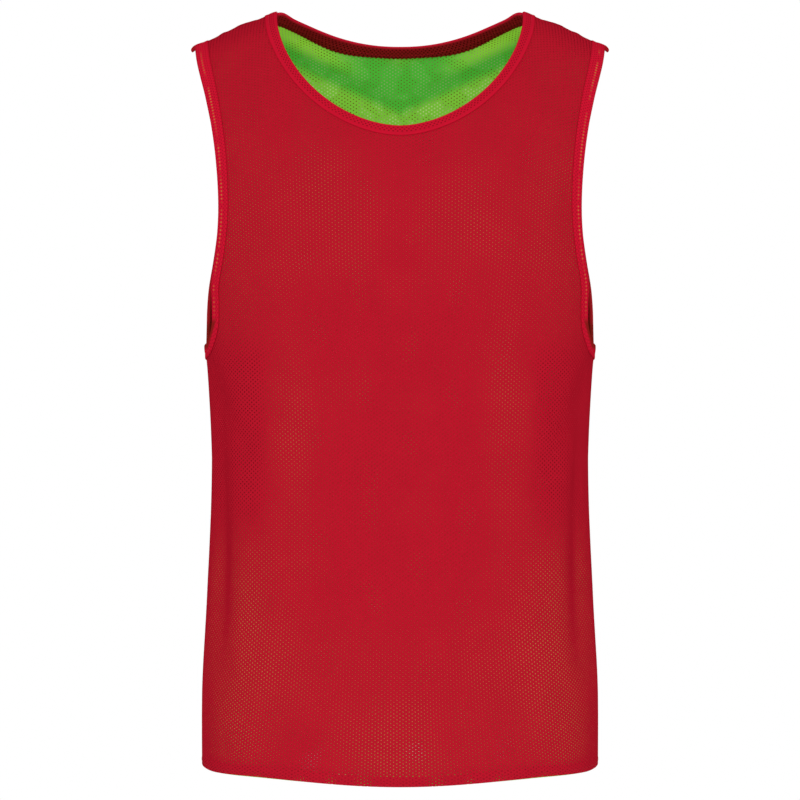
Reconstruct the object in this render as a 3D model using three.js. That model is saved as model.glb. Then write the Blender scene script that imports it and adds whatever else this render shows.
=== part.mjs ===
// Reversible training bib in its worn, hollow form, in millimetres.
// A red mesh shell and a lime mesh shell, each cut as a front and a back, are bound together
// at the neck and at both armholes. +Z is up, the front faces -Y and the wearer's left is +X.
// The origin lies midway between the two neck points, where the shoulders carry the bib.
import * as THREE from "three";

// Driving sizes of the worn bib
const HEM_DROP = 711;
const HEM_LIFT = 5;
const LINING_HEM_LOWERED = -0.5;
const LINING_HEM_LIFT = 3;
const UNDERARM_DROP = 318;
const NECK_HALF_WIDTH = 117;
const SHOULDER_TIP = 192.5;
const SHOULDER_SLOPE = 0.42;
const SHOULDER_SLOPE_START = NECK_HALF_WIDTH + 1;
const SHOULDER_SOFTENING = 7;
const NECK_BAND = 11;
const ARMHOLE_BAND = 10;

// Cloth layers, counted outwards from the side that touches the wearer
const WALL = 1;
const SEAM_GAP = 0.3;
const LINING_INSIDE = 0;
const SHELL_INSIDE = LINING_INSIDE + WALL + SEAM_GAP;
const SHELL_OUTSIDE = SHELL_INSIDE + WALL;

// Centre line of the form: back hem, over the shoulder ridge, down to the front hem
const CENTRE_LINE = [
  { place: "back hem", y: 127, z: -740 },
  { place: "seat", y: 121, z: -640 },
  { place: "small of the back", y: 102, z: -520 },
  { place: "back waist", y: 98, z: -430 },
  { place: "under the blades", y: 112, z: -320 },
  { place: "blades", y: 124, z: -210 },
  { place: "upper back", y: 117, z: -120 },
  { place: "below the nape", y: 98, z: -62 },
  { place: "nape", y: 76, z: -23 },
  { place: "behind the ridge", y: 42, z: -7 },
  { place: "ridge", y: 0, z: -0.5 },
  { place: "before the ridge", y: -44, z: -18 },
  { place: "collar bone", y: -78, z: -60 },
  { place: "upper chest", y: -111, z: -120 },
  { place: "chest slope", y: -131, z: -185 },
  { place: "chest", y: -137, z: -250 },
  { place: "under the chest", y: -130, z: -330 },
  { place: "front waist", y: -127, z: -430 },
  { place: "belly", y: -131, z: -540 },
  { place: "front hip", y: -137, z: -640 },
  { place: "front hem", y: -141, z: -740 },
];
const RIDGE_ROW = CENTRE_LINE.findIndex((row) => row.place === "ridge");

// Half width of the form and how square its section is, from the hem up to the shoulder
const SECTIONS = [
  { z: -740, halfWidth: 184.7, square: 2.6 },
  { z: -640, halfWidth: 183, square: 2.6 },
  { z: -560, halfWidth: 178, square: 2.6 },
  { z: -470, halfWidth: 175, square: 2.6 },
  { z: -400, halfWidth: 176.2, square: 2.6 },
  { z: -330, halfWidth: 180.5, square: 2.5 },
  { z: -260, halfWidth: 188, square: 2.4 },
  { z: -180, halfWidth: 195, square: 2.35 },
  { z: -100, halfWidth: 203, square: 2.6 },
  { z: -40, halfWidth: 210, square: 3.2 },
  { z: 10, halfWidth: 214, square: 3.8 },
];

// Soft folds as lines on the cloth: across is the run from the centre line, depth is inwards
const FOLDS = [
  { side: 1, from: [196, -325], to: [182, -640], width: 20, depth: 7.5 },
  { side: 1, from: [225, -318], to: [120, -450], width: 17, depth: 3.2 },
  { side: 1, from: [150, -90], to: [0, -205], width: 20, depth: -2.4 },
  { side: 1, from: [60, -520], to: [150, -760], width: 26, depth: 2.6 },
  { side: 1, from: [230, -420], to: [222, -730], width: 13, depth: -2.6 },
  { side: -1, from: [150, -330], to: [178, -660], width: 24, depth: 6 },
  { side: -1, from: [215, -318], to: [70, -470], width: 20, depth: 3.4 },
  { side: -1, from: [120, -70], to: [0, -190], width: 22, depth: 3 },
  { side: -1, from: [60, -480], to: [95, -760], width: 26, depth: 3 },
];

// Armhole cut: share of its height above the underarm, and the cloth from the centre line to it
const ARMHOLE = [
  { rise: 0.005, front: 234, back: 236 },
  { rise: 0.025, front: 205, back: 230 },
  { rise: 0.07, front: 194, back: 223.5 },
  { rise: 0.13, front: 191.5, back: 218 },
  { rise: 0.2, front: 190.5, back: 211.5 },
  { rise: 0.3, front: 182, back: 201 },
  { rise: 0.42, front: 175.8, back: 192.5 },
  { rise: 0.6, front: 174.8, back: 187.5 },
  { rise: 0.8, front: 180.9, back: 186.2 },
  { rise: 0.93, front: 188.7, back: 188.5 },
];

// Net of each half panel: columns from the centre to the side, rows from the hem to the shoulder
const NECK_COLUMNS = 5;
const SHOULDER_COLUMNS = 5;
const UNDERARM_COLUMNS = 5;
const SIDE_ROWS = 12;
const PANELS = {
  front: { side: 1, neckDrop: 121, neckRound: 1.83, neckFall: 1.08, chestRows: 6, neckRows: 6 },
  back: { side: -1, neckDrop: 22, neckRound: 2.2, neckFall: 3.0, chestRows: 9, neckRows: 3 },
};
const RELAX_SWEEPS = 400;
const CURVE_SAMPLES = 160;
const SECTION_SAMPLES = 48;
const NORMAL_STEP = 0.5;

// The centre line as one smooth curve, measured from the ridge, positive down the front
const centreLine = new THREE.CatmullRomCurve3(
  CENTRE_LINE.map((row) => new THREE.Vector3(0, row.y, row.z)),
  false,
  "centripetal",
);
const SAMPLES_PER_ROW = 40;
centreLine.arcLengthDivisions = (CENTRE_LINE.length - 1) * SAMPLES_PER_ROW;
const centreLength = centreLine.getLength();
const ridgeLength = centreLine.getLengths()[RIDGE_ROW * SAMPLES_PER_ROW];

function centreAt(run) {
  return centreLine.getPointAt((ridgeLength + run) / centreLength);
}

// Value of one column of the section table at a height, on a smooth curve through its rows
function sectionValue(column, z) {
  const last = SECTIONS.length - 1;
  let row = 0;
  while (row < last - 1 && SECTIONS[row + 1].z < z) row += 1;
  const values = [row - 1, row, row + 1, row + 2].map(
    (k) => SECTIONS[THREE.MathUtils.clamp(k, 0, last)][column],
  );
  const span = SECTIONS[row + 1].z - SECTIONS[row].z;
  const t = THREE.MathUtils.clamp((z - SECTIONS[row].z) / span, 0, 1);
  const [before, start, end, after] = values;
  const bend = 2 * before - 5 * start + 4 * end - after;
  const twist = 3 * start - before - 3 * end + after;
  return start + 0.5 * t * (end - before + t * (bend + t * twist));
}

// Quarter of the section at a run from the ridge, as points with the girth up to each
function quarterSection(run) {
  const centre = centreAt(run);
  const halfWidth = sectionValue("halfWidth", centre.z);
  const power = 2 / sectionValue("square", centre.z);
  const points = [];
  let girth = 0;
  for (let k = 0; k <= SECTION_SAMPLES; k += 1) {
    const angle = (Math.PI / 2) * (k / SECTION_SAMPLES);
    const x = halfWidth * Math.sin(angle) ** power;
    const y = centre.y * Math.max(Math.cos(angle), 0) ** power;
    if (k > 0) girth += Math.hypot(x - points[k - 1].x, y - points[k - 1].y);
    points.push({ x, y, girth });
  }
  return { points, z: centre.z, girth };
}

function quarterGirth(run) {
  return quarterSection(run).girth;
}

// How far the sloping shoulder lies below the ridge's height, fading out at the underarm
function shoulderDrop(x, run) {
  const beyond = Math.abs(x) - SHOULDER_SLOPE_START;
  const drop = (SHOULDER_SLOPE * (beyond + Math.hypot(beyond, SHOULDER_SOFTENING))) / 2;
  const fade = THREE.MathUtils.smoothstep(Math.abs(run), 0, UNDERARM_DROP);
  return drop * (1 - fade);
}

// Point of the plain form, across the cloth from the centre line and down from the ridge
function formPoint(across, run) {
  const section = quarterSection(run);
  const girth = Math.min(Math.abs(across), section.girth);
  const next = section.points.findIndex((p, k) => k > 0 && p.girth >= girth - 1e-9);
  const k = next < 0 ? section.points.length - 1 : next;
  const low = section.points[k - 1];
  const high = section.points[k];
  const t = (girth - low.girth) / (high.girth - low.girth);
  const x = low.x + t * (high.x - low.x);
  const y = low.y + t * (high.y - low.y);
  return new THREE.Vector3(x * Math.sign(across), y, section.z - shoulderDrop(x, run));
}

// Unit normal of a surface given by a function of across and run, pointing away from the wearer
function outwardNormal(surface, across, run) {
  const a = surface(across + NORMAL_STEP, run).sub(surface(across - NORMAL_STEP, run));
  const b = surface(across, run + NORMAL_STEP).sub(surface(across, run - NORMAL_STEP));
  return b.cross(a).normalize();
}

// Depth of all folds at a place, soft across each line and fading at both of its ends
function foldDepth(across, run) {
  const z = centreAt(run).z;
  let depth = 0;
  for (const fold of FOLDS) {
    if (fold.side * run <= 0) continue;
    const along = new THREE.Vector2(...fold.to).sub(new THREE.Vector2(...fold.from));
    const here = new THREE.Vector2(Math.abs(across), z).sub(new THREE.Vector2(...fold.from));
    const share = THREE.MathUtils.clamp(here.dot(along) / along.lengthSq(), 0, 1);
    const off = here.cross(along) / along.length();
    depth += fold.depth * 4 * share * (1 - share) * Math.exp(-((off / fold.width) ** 2));
  }
  return depth;
}

function foldedPoint(across, run) {
  const normal = outwardNormal(formPoint, across, run);
  return formPoint(across, run).addScaledVector(normal, -foldDepth(across, run));
}

// Run from the ridge at which the form reaches a height, on the front or on the back
function runAtHeight(side, across, z) {
  let high = 0;
  let low = Math.min(ridgeLength, centreLength - ridgeLength);
  while (low - high > 1e-4) {
    const middle = (low + high) / 2;
    if (formPoint(across, side * middle).z > z) high = middle;
    else low = middle;
  }
  return (side * (low + high)) / 2;
}

// Points set evenly along a finely drawn line
function evenly(line, segments) {
  const lengths = [0];
  for (let k = 1; k < line.length; k += 1) {
    lengths.push(lengths[k - 1] + line[k].distanceTo(line[k - 1]));
  }
  const total = lengths[lengths.length - 1];
  const points = [];
  let k = 1;
  for (let n = 0; n <= segments; n += 1) {
    const wanted = (total * n) / segments;
    while (k < line.length - 1 && lengths[k] < wanted) k += 1;
    const t = (wanted - lengths[k - 1]) / (lengths[k] - lengths[k - 1]);
    points.push(line[k - 1].clone().lerp(line[k], t));
  }
  return points;
}

// Neckline on the cloth, from the centre to the neck point at the shoulder seam
function neckEdge(panel) {
  const line = [];
  for (let k = 0; k <= CURVE_SAMPLES; k += 1) {
    const angle = (Math.PI / 2) * (k / CURVE_SAMPLES);
    const across = NECK_HALF_WIDTH * Math.sin(angle) ** (2 / panel.neckRound);
    const drop = panel.neckDrop * Math.max(Math.cos(angle), 0) ** panel.neckFall;
    const ridge = formPoint(across, 0).z;
    const run = drop < 1e-6 ? 0 : runAtHeight(panel.side, across, ridge - drop);
    line.push(new THREE.Vector2(across, run));
  }
  return line;
}

// Armhole on the cloth, from the underarm to the shoulder tip
function armholeEdge(panel) {
  const column = panel.side > 0 ? "front" : "back";
  const tipHeight = formPoint(SHOULDER_TIP, 0).z;
  const underarmRun = runAtHeight(panel.side, SHOULDER_TIP, -UNDERARM_DROP);
  const corners = ARMHOLE.map((row) => {
    const z = -UNDERARM_DROP + row.rise * (tipHeight + UNDERARM_DROP);
    return new THREE.Vector3(row[column], runAtHeight(panel.side, row[column], z), 0);
  });
  corners.unshift(new THREE.Vector3(quarterGirth(underarmRun), underarmRun, 0));
  corners.push(new THREE.Vector3(SHOULDER_TIP, 0, 0));
  const curve = new THREE.CatmullRomCurve3(corners, false, "centripetal");
  return curve.getPoints(CURVE_SAMPLES).map((p) => new THREE.Vector2(p.x, p.y));
}

// Line drawn beside an edge at a band's width; its ends slide along the seams they meet
function besideEdge(line, width, ends) {
  const points = line.map((point, k) => {
    const before = line[Math.max(k - 1, 0)];
    const after = line[Math.min(k + 1, line.length - 1)];
    const along = after.clone().sub(before).normalize();
    return new THREE.Vector2(point.x - along.y * width, point.y + along.x * width);
  });
  points[0].copy(line[0]).add(ends.first);
  points[points.length - 1].copy(line[line.length - 1]).add(ends.last);
  return points;
}

// Net of one half panel: pinned along its edges and beside its bands, and relaxed in between
function halfNet(panel) {
  const side = panel.side;
  const neckColumn = NECK_COLUMNS;
  const armColumn = neckColumn + SHOULDER_COLUMNS;
  const sideColumn = armColumn + UNDERARM_COLUMNS;
  const armRow = SIDE_ROWS;
  const neckRow = armRow + panel.chestRows;
  const topRow = neckRow + panel.neckRows;
  const nodes = new Map();
  const key = (i, j) => i * 100 + j;
  const exists = (i, j) =>
    j <= armRow || (i <= armColumn && (j <= neckRow || i >= neckColumn));
  const pin = (i, j, point) => nodes.set(key(i, j), { i, j, point, pinned: true });

  const neck = neckEdge(panel);
  const neckBeside = besideEdge(neck, side * NECK_BAND, {
    first: new THREE.Vector2(0, side * NECK_BAND),
    last: new THREE.Vector2(NECK_BAND, 0),
  });
  const armhole = armholeEdge(panel);
  const armholeBeside = besideEdge(armhole, -side * ARMHOLE_BAND, {
    first: new THREE.Vector2(0, side * ARMHOLE_BAND),
    last: new THREE.Vector2(-ARMHOLE_BAND, 0),
  });

  // The neckline runs along a row, turns at its corner column and climbs to the shoulder
  const neckPath = [];
  for (let i = 0; i <= neckColumn; i += 1) neckPath.push([i, neckRow]);
  for (let j = neckRow + 1; j <= topRow; j += 1) neckPath.push([neckColumn, j]);
  const neckBesidePath = [];
  for (let i = 0; i <= neckColumn + 1; i += 1) neckBesidePath.push([i, neckRow - 1]);
  for (let j = neckRow; j <= topRow; j += 1) neckBesidePath.push([neckColumn + 1, j]);

  // The armhole does the same from the side seam
  const armPath = [];
  for (let i = sideColumn; i >= armColumn; i -= 1) armPath.push([i, armRow]);
  for (let j = armRow + 1; j <= topRow; j += 1) armPath.push([armColumn, j]);
  const armBesidePath = [];
  for (let i = sideColumn; i >= armColumn - 1; i -= 1) armBesidePath.push([i, armRow - 1]);
  for (let j = armRow; j <= topRow; j += 1) armBesidePath.push([armColumn - 1, j]);

  const pinned = [
    [neckPath, neck],
    [neckBesidePath, neckBeside],
    [armPath, armhole],
    [armBesidePath, armholeBeside],
  ];
  for (const [path, line] of pinned) {
    evenly(line, path.length - 1).forEach((point, k) => pin(...path[k], point));
  }

  // Shoulder seam between the two bands
  const seamStart = NECK_HALF_WIDTH + NECK_BAND;
  const seamEnd = SHOULDER_TIP - ARMHOLE_BAND;
  for (let i = neckColumn + 2; i < armColumn - 1; i += 1) {
    const share = (i - neckColumn - 1) / (armColumn - neckColumn - 2);
    pin(i, topRow, new THREE.Vector2(seamStart + share * (seamEnd - seamStart), 0));
  }

  // Hem and side seam, evenly spaced
  const hemRun = runAtHeight(side, 0, -HEM_DROP);
  const lastSideDrop = UNDERARM_DROP + ARMHOLE_BAND;
  for (let i = 0; i <= sideColumn; i += 1) {
    pin(i, 0, new THREE.Vector2((quarterGirth(hemRun) * i) / sideColumn, hemRun));
  }
  for (let j = 1; j < armRow - 1; j += 1) {
    const drop = HEM_DROP + ((lastSideDrop - HEM_DROP) * j) / (armRow - 1);
    const run = runAtHeight(side, SHOULDER_TIP, -drop);
    pin(sideColumn, j, new THREE.Vector2(quarterGirth(run), run));
  }
  for (const j of [armRow - 1, armRow]) {
    const node = nodes.get(key(sideColumn, j)).point;
    node.y = runAtHeight(side, SHOULDER_TIP, j === armRow ? -UNDERARM_DROP : -lastSideDrop);
    node.x = quarterGirth(node.y);
  }

  // The rest starts on straight lines and settles at the mean of its neighbours
  const loose = [];
  for (let i = 0; i < sideColumn; i += 1) {
    for (let j = 1; j <= topRow; j += 1) {
      if (!exists(i, j) || nodes.has(key(i, j))) continue;
      const point = new THREE.Vector2(
        (quarterGirth(hemRun) * i) / sideColumn,
        hemRun * (1 - j / topRow),
      );
      const node = { i, j, point, pinned: false };
      nodes.set(key(i, j), node);
      loose.push(node);
    }
  }
  for (let sweep = 0; sweep < RELAX_SWEEPS; sweep += 1) {
    for (const { i, j, point } of loose) {
      const right = nodes.get(key(i + 1, j)).point;
      const left = i > 0 ? nodes.get(key(i - 1, j)).point : new THREE.Vector2(-right.x, right.y);
      const below = nodes.get(key(i, j - 1)).point;
      const above = nodes.get(key(i, j + 1)).point;
      point.copy(right).add(left).add(below).add(above).multiplyScalar(0.25);
    }
  }

  const cells = [];
  for (let i = 0; i < sideColumn; i += 1) {
    for (let j = 0; j < topRow; j += 1) {
      const corners = [[i, j], [i + 1, j], [i + 1, j + 1], [i, j + 1]];
      if (!corners.every(([a, b]) => exists(a, b))) continue;
      const inNeckBand =
        (j === neckRow - 1 && i <= neckColumn) || (i === neckColumn && j >= neckRow - 1);
      const inArmholeBand =
        (j === armRow - 1 && i >= armColumn - 1) || (i === armColumn - 1 && j >= armRow - 1);
      cells.push({ corners, inNeckBand, inArmholeBand });
    }
  }
  return { nodes, cells, key, side, neckPath, armPath, topRow, sideColumn, armRow };
}

// The same net with its hem row moved: lowered all along and lifted midway to each side seam
function withHem(net, lowered, lift) {
  const nodes = new Map(net.nodes);
  for (let i = 0; i <= net.sideColumn; i += 1) {
    const node = net.nodes.get(net.key(i, 0));
    const down = lowered - lift * Math.sin((Math.PI * i) / net.sideColumn) ** 2;
    const point = new THREE.Vector2(node.point.x, node.point.y + net.side * down);
    nodes.set(net.key(i, 0), { ...node, point });
  }
  return { ...net, nodes };
}

// A patch holds points of the cloth with their normals, and faces that turn outwards
function newPatch() {
  return { points: [], faces: [], index: new Map() };
}

function patchPoint(patch, across, run, name) {
  if (patch.index.has(name)) return patch.index.get(name);
  const position = foldedPoint(across, run);
  const normal = outwardNormal(foldedPoint, across, run);
  patch.index.set(name, patch.points.length);
  patch.points.push({ position, normal });
  return patch.points.length - 1;
}

// Adds the chosen cells of a half net to a patch, on the wearer's left (1) or right (-1)
function addCells(patch, net, hand, cellWanted, seamInset) {
  const seamRun = (net.side * seamInset) / 2;
  for (const cell of net.cells.filter(cellWanted)) {
    const ring = cell.corners.map(([i, j]) => {
      const { point } = net.nodes.get(net.key(i, j));
      const onShoulder = j === net.topRow;
      const onSide = i === net.sideColumn;
      const across = onSide ? point.x - seamInset / 2 : point.x;
      const run = onShoulder ? point.y + seamRun : point.y;
      const welded = seamInset === 0 && (onShoulder || onSide);
      const sideName = welded ? "seam" : net.side;
      const handName = i === 0 ? 0 : hand;
      const place = welded ? (onShoulder ? `shoulder${i}` : `side${j - net.armRow}`) : `${i},${j}`;
      return patchPoint(patch, hand * across, run, `${sideName}:${handName}:${place}`);
    });
    if (hand * net.side < 0) ring.reverse();
    const corner = ring.map((k) => patch.points[k].position);
    if (corner[1].distanceTo(corner[3]) < corner[0].distanceTo(corner[2])) ring.push(ring.shift());
    patch.faces.push([ring[0], ring[1], ring[2]], [ring[0], ring[2], ring[3]]);
  }
}

// Edges of a patch that only one face uses, each with that face's direction
function openEdges(patch) {
  const used = new Map();
  for (const face of patch.faces) {
    face.forEach((a, k) => used.set(`${a}_${face[(k + 1) % 3]}`, [a, face[(k + 1) % 3]]));
  }
  return [...used.values()].filter(([a, b]) => !used.has(`${b}_${a}`));
}

function geometryFrom(positions, triangles) {
  const geometry = new THREE.BufferGeometry();
  const flat = positions.flatMap((p) => [p.x, p.y, p.z]);
  geometry.setAttribute("position", new THREE.Float32BufferAttribute(flat, 3));
  geometry.setIndex(triangles.flat());
  geometry.computeVertexNormals();
  return geometry;
}

function movedOut(patch, distance) {
  return patch.points.map((p) => p.position.clone().addScaledVector(p.normal, distance));
}

// A wall between two distances from the wearer's side
function wallGeometry(patch, inside, outside) {
  const count = patch.points.length;
  const positions = [...movedOut(patch, outside), ...movedOut(patch, inside)];
  const triangles = [];
  for (const [a, b, c] of patch.faces) {
    triangles.push([a, b, c], [c + count, b + count, a + count]);
  }
  for (const [a, b] of openEdges(patch)) {
    triangles.push([b, a, a + count], [b, a + count, b + count]);
  }
  return geometryFrom(positions, triangles);
}

// Direction in the cloth, square to an open edge and away from the patch, at each bound point
function awayFromEdge(patch, boundEdges) {
  const away = new Map();
  for (const [a, b] of boundEdges) {
    const along = patch.points[b].position.clone().sub(patch.points[a].position).normalize();
    for (const k of [a, b]) {
      const out = along.clone().cross(patch.points[k].normal).normalize();
      away.set(k, (away.get(k) ?? new THREE.Vector3()).add(out));
    }
  }
  away.forEach((out) => out.normalize());
  return away;
}

// A band folded round the bound edge of both layers: two legs joined by a rounded fold
function bandGeometry(patch, isBound) {
  const open = openEdges(patch);
  const bound = open.filter(([a, b]) => isBound(patch, a, b));
  const away = awayFromEdge(patch, bound);
  const legs = {
    outerTop: SHELL_OUTSIDE + SEAM_GAP + WALL,
    outerUnder: SHELL_OUTSIDE + SEAM_GAP,
    innerUnder: LINING_INSIDE - SEAM_GAP,
    innerTop: LINING_INSIDE - SEAM_GAP - WALL,
  };
  const positions = [];
  const layerStart = {};
  for (const [leg, distance] of Object.entries(legs)) {
    layerStart[leg] = positions.length;
    positions.push(...movedOut(patch, distance));
  }
  // Fold points beyond the edge, in order from the outer leg round to the inner leg
  const foldSteps = {
    outside: [
      { beyond: SEAM_GAP + 0.6 * WALL, at: legs.outerTop - 0.35 * WALL },
      { beyond: SEAM_GAP + WALL, at: (legs.outerTop + legs.innerTop) / 2 + WALL },
      { beyond: SEAM_GAP + WALL, at: (legs.outerTop + legs.innerTop) / 2 - WALL },
      { beyond: SEAM_GAP + 0.6 * WALL, at: legs.innerTop + 0.35 * WALL },
    ],
    inside: [
      { beyond: SEAM_GAP, at: legs.outerUnder },
      { beyond: SEAM_GAP, at: legs.innerUnder },
    ],
  };
  const foldPoints = new Map();
  for (const [k, out] of away) {
    const { position, normal } = patch.points[k];
    const place = ({ beyond, at }) => {
      positions.push(position.clone().addScaledVector(out, beyond).addScaledVector(normal, at));
      return positions.length - 1;
    };
    const outside = foldSteps.outside.map(place);
    const inside = foldSteps.inside.map(place);
    foldPoints.set(k, {
      outside: [layerStart.outerTop + k, ...outside, layerStart.innerTop + k],
      inside: [layerStart.outerUnder + k, ...inside, layerStart.innerUnder + k],
    });
  }
  const triangles = [];
  const addFace = ([a, b, c], leg) => {
    const s = layerStart[leg];
    triangles.push([a + s, b + s, c + s]);
  };
  for (const face of patch.faces) {
    const turned = [...face].reverse();
    addFace(face, "outerTop");
    addFace(turned, "outerUnder");
    addFace(face, "innerUnder");
    addFace(turned, "innerTop");
  }
  const strip = (first, second) => {
    for (let n = 0; n + 1 < first.length; n += 1) {
      triangles.push([second[n], first[n], first[n + 1]], [second[n], first[n + 1], second[n + 1]]);
    }
  };
  for (const [a, b] of bound) {
    strip(foldPoints.get(a).outside, foldPoints.get(b).outside);
    strip(foldPoints.get(b).inside, foldPoints.get(a).inside);
  }
  const isBoundEdge = new Set(bound.map(([a, b]) => `${a}_${b}`));
  for (const [a, b] of open.filter(([p, q]) => !isBoundEdge.has(`${p}_${q}`))) {
    const rail = (k, upper, lower) => [layerStart[upper] + k, layerStart[lower] + k];
    strip(rail(a, "outerTop", "outerUnder"), rail(b, "outerTop", "outerUnder"));
    strip(rail(a, "innerUnder", "innerTop"), rail(b, "innerUnder", "innerTop"));
  }
  return geometryFrom(positions, triangles);
}

function clothMaterial(color) {
  return new THREE.MeshStandardMaterial({ color, roughness: 0.8, metalness: 0, side: THREE.FrontSide });
}

const redCloth = clothMaterial(0xb81424);
const limeCloth = clothMaterial(0x4fae35);
const redBinding = clothMaterial(0xc40f2c);

const halfNets = { front: halfNet(PANELS.front), back: halfNet(PANELS.back) };
const nets = {
  shellFront: withHem(halfNets.front, 0, HEM_LIFT),
  shellBack: withHem(halfNets.back, 0, HEM_LIFT),
  liningFront: withHem(halfNets.front, LINING_HEM_LOWERED, LINING_HEM_LIFT),
  liningBack: withHem(halfNets.back, LINING_HEM_LOWERED, LINING_HEM_LIFT),
};

const bib = new THREE.Group();

function addMesh(name, geometry, material) {
  const mesh = new THREE.Mesh(geometry, material);
  mesh.name = name;
  bib.add(mesh);
}

function addPanel(name, net, inside, material) {
  const patch = newPatch();
  for (const hand of [1, -1]) addCells(patch, net, hand, () => true, SEAM_GAP);
  addMesh(name, wallGeometry(patch, inside, inside + WALL), material);
}

addPanel("outer_front", nets.shellFront, SHELL_INSIDE, redCloth);
addPanel("outer_back", nets.shellBack, SHELL_INSIDE, redCloth);
addPanel("inner_front", nets.liningFront, LINING_INSIDE, limeCloth);
addPanel("inner_back", nets.liningBack, LINING_INSIDE, limeCloth);

// Names of the patch points that lie on a bound edge
function edgeNames(net, path, hand) {
  return path.map(([i, j]) => {
    const handName = i === 0 ? 0 : hand;
    if (j === net.topRow) return `seam:${handName}:shoulder${i}`;
    if (i === net.sideColumn) return `seam:${handName}:side${j - net.armRow}`;
    return `${net.side}:${handName}:${i},${j}`;
  });
}

function addBand(name, hands, cellWanted, pathName) {
  const patch = newPatch();
  const onEdge = new Set();
  for (const net of [nets.shellFront, nets.shellBack]) {
    for (const hand of hands) {
      addCells(patch, net, hand, cellWanted, 0);
      edgeNames(net, net[pathName], hand).forEach((n) => onEdge.add(patch.index.get(n)));
    }
  }
  const isBound = (p, a, b) => onEdge.has(a) && onEdge.has(b);
  addMesh(name, bandGeometry(patch, isBound), redBinding);
}

addBand("neck_binding", [1, -1], (cell) => cell.inNeckBand, "neckPath");
addBand("armhole_binding_left", [1], (cell) => cell.inArmholeBand, "armPath");
addBand("armhole_binding_right", [-1], (cell) => cell.inArmholeBand, "armPath");

export default bib;
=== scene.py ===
"""Reversible training bib: mesh cloth, bindings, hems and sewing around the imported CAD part.

Shapes are in millimetres up to the point where a mesh is made; looks, lights and the camera
are in metres. +Z is up, the front faces -Y and the wearer's left is +X. A place on the cloth is
given as (across, run): the girth from the centre line, and the length from the shoulder ridge,
positive down the front.
"""
import math

import bpy
import numpy as np
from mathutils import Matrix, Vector


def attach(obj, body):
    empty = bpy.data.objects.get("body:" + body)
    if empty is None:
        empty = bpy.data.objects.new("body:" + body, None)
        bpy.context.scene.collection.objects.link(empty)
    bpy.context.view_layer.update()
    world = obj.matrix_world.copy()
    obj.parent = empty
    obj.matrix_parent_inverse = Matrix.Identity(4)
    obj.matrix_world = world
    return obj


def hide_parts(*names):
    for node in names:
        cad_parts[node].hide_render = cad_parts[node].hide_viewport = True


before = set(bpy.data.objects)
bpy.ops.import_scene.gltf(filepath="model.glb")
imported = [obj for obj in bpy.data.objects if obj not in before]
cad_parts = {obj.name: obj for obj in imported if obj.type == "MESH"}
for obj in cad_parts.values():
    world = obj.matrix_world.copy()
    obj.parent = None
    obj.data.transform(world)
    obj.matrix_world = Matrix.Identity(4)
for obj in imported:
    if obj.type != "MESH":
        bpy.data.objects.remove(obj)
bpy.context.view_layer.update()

bl_info = {
    "name": "Reversible Training Bib",
    "version": (1, 0, 0),
    "blender": (4, 5, 0),
    "location": "View3D > Sidebar > Bib",
    "description": "Mesh cloth, bindings and sewing of a reversible training bib",
    "category": "Object",
}

MM = 0.001

# Driving sizes of the worn bib, as in the CAD part
HEM_DROP = 711
UNDERARM_DROP = 318
NECK_HALF_WIDTH = 117
SHOULDER_TIP = 192.5
SHOULDER_SLOPE = 0.42
SHOULDER_SLOPE_START = NECK_HALF_WIDTH + 1
SHOULDER_SOFTENING = 7
NECK_BAND = 11
ARMHOLE_BAND = 10
SEAM_GAP = 0.3

# Centre line of the form from the back hem over the shoulder ridge to the front hem: y, z
CENTRE_LINE = (
    (127, -740), (121, -640), (102, -520), (98, -430), (112, -320), (124, -210),
    (117, -120), (98, -62), (76, -23), (42, -7), (0, -0.5), (-44, -18), (-78, -60),
    (-111, -120), (-131, -185), (-137, -250), (-130, -330), (-127, -430),
    (-131, -540), (-137, -640), (-141, -740),
)
RIDGE_ROW = CENTRE_LINE.index((0, -0.5))

# Sections from the hem up: z, half width, how square
SECTIONS = np.array([
    (-740, 184.7, 2.6), (-640, 183, 2.6), (-560, 178, 2.6), (-470, 175, 2.6),
    (-400, 176.2, 2.6), (-330, 180.5, 2.5), (-260, 188, 2.4), (-180, 195, 2.35),
    (-100, 203, 2.6), (-40, 210, 3.2), (10, 214, 3.8),
])

# Folds: side, from (across, z), to (across, z), width, depth inwards
MAIN_FOLDS = (
    (1, (196, -325), (182, -640), 20, 7.5),
    (1, (225, -318), (120, -450), 17, 3.2),
    (1, (150, -90), (0, -205), 20, -2.4),
    (1, (60, -520), (150, -760), 26, 2.6),
    (1, (230, -420), (222, -730), 13, -2.6),
    (-1, (150, -330), (178, -660), 24, 6),
    (-1, (215, -318), (70, -470), 20, 3.4),
    (-1, (120, -70), (0, -190), 22, 3),
    (-1, (60, -480), (95, -760), 26, 3),
)
CREASES = (
    (-1, (118, -30), (0, -84), 10, -3.0),
    (-1, (112, -14), (0, -60), 12, 2.2),
)
# Soft dips, and rises where less than 0: across, run, half width, half length, depth
DIPS = (
    (110, -12, 7, 14, -3.6), (132, 0, 6, 18, 1.1), (150, 0, 9, 18, -0.7),
    (168, 0, 3.5, 18, -0.9), (178, 0, 15, 18, 1.4),
)

# Armhole cut: share of its height, cloth from the centre line in front and behind
ARMHOLE = np.array([
    (0.005, 234, 236), (0.025, 205, 230), (0.07, 194, 223.5), (0.13, 191.5, 218),
    (0.2, 190.5, 211.5), (0.3, 182, 201), (0.42, 175.8, 192.5), (0.6, 174.8, 187.5),
    (0.8, 180.9, 186.2), (0.93, 188.7, 188.5),
])

FRONT, BACK = 1, -1
LEFT, RIGHT = 1, -1
SIDE_NAMES = {FRONT: "front", BACK: "back"}
HAND_NAMES = {LEFT: "left", RIGHT: "right"}
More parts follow.
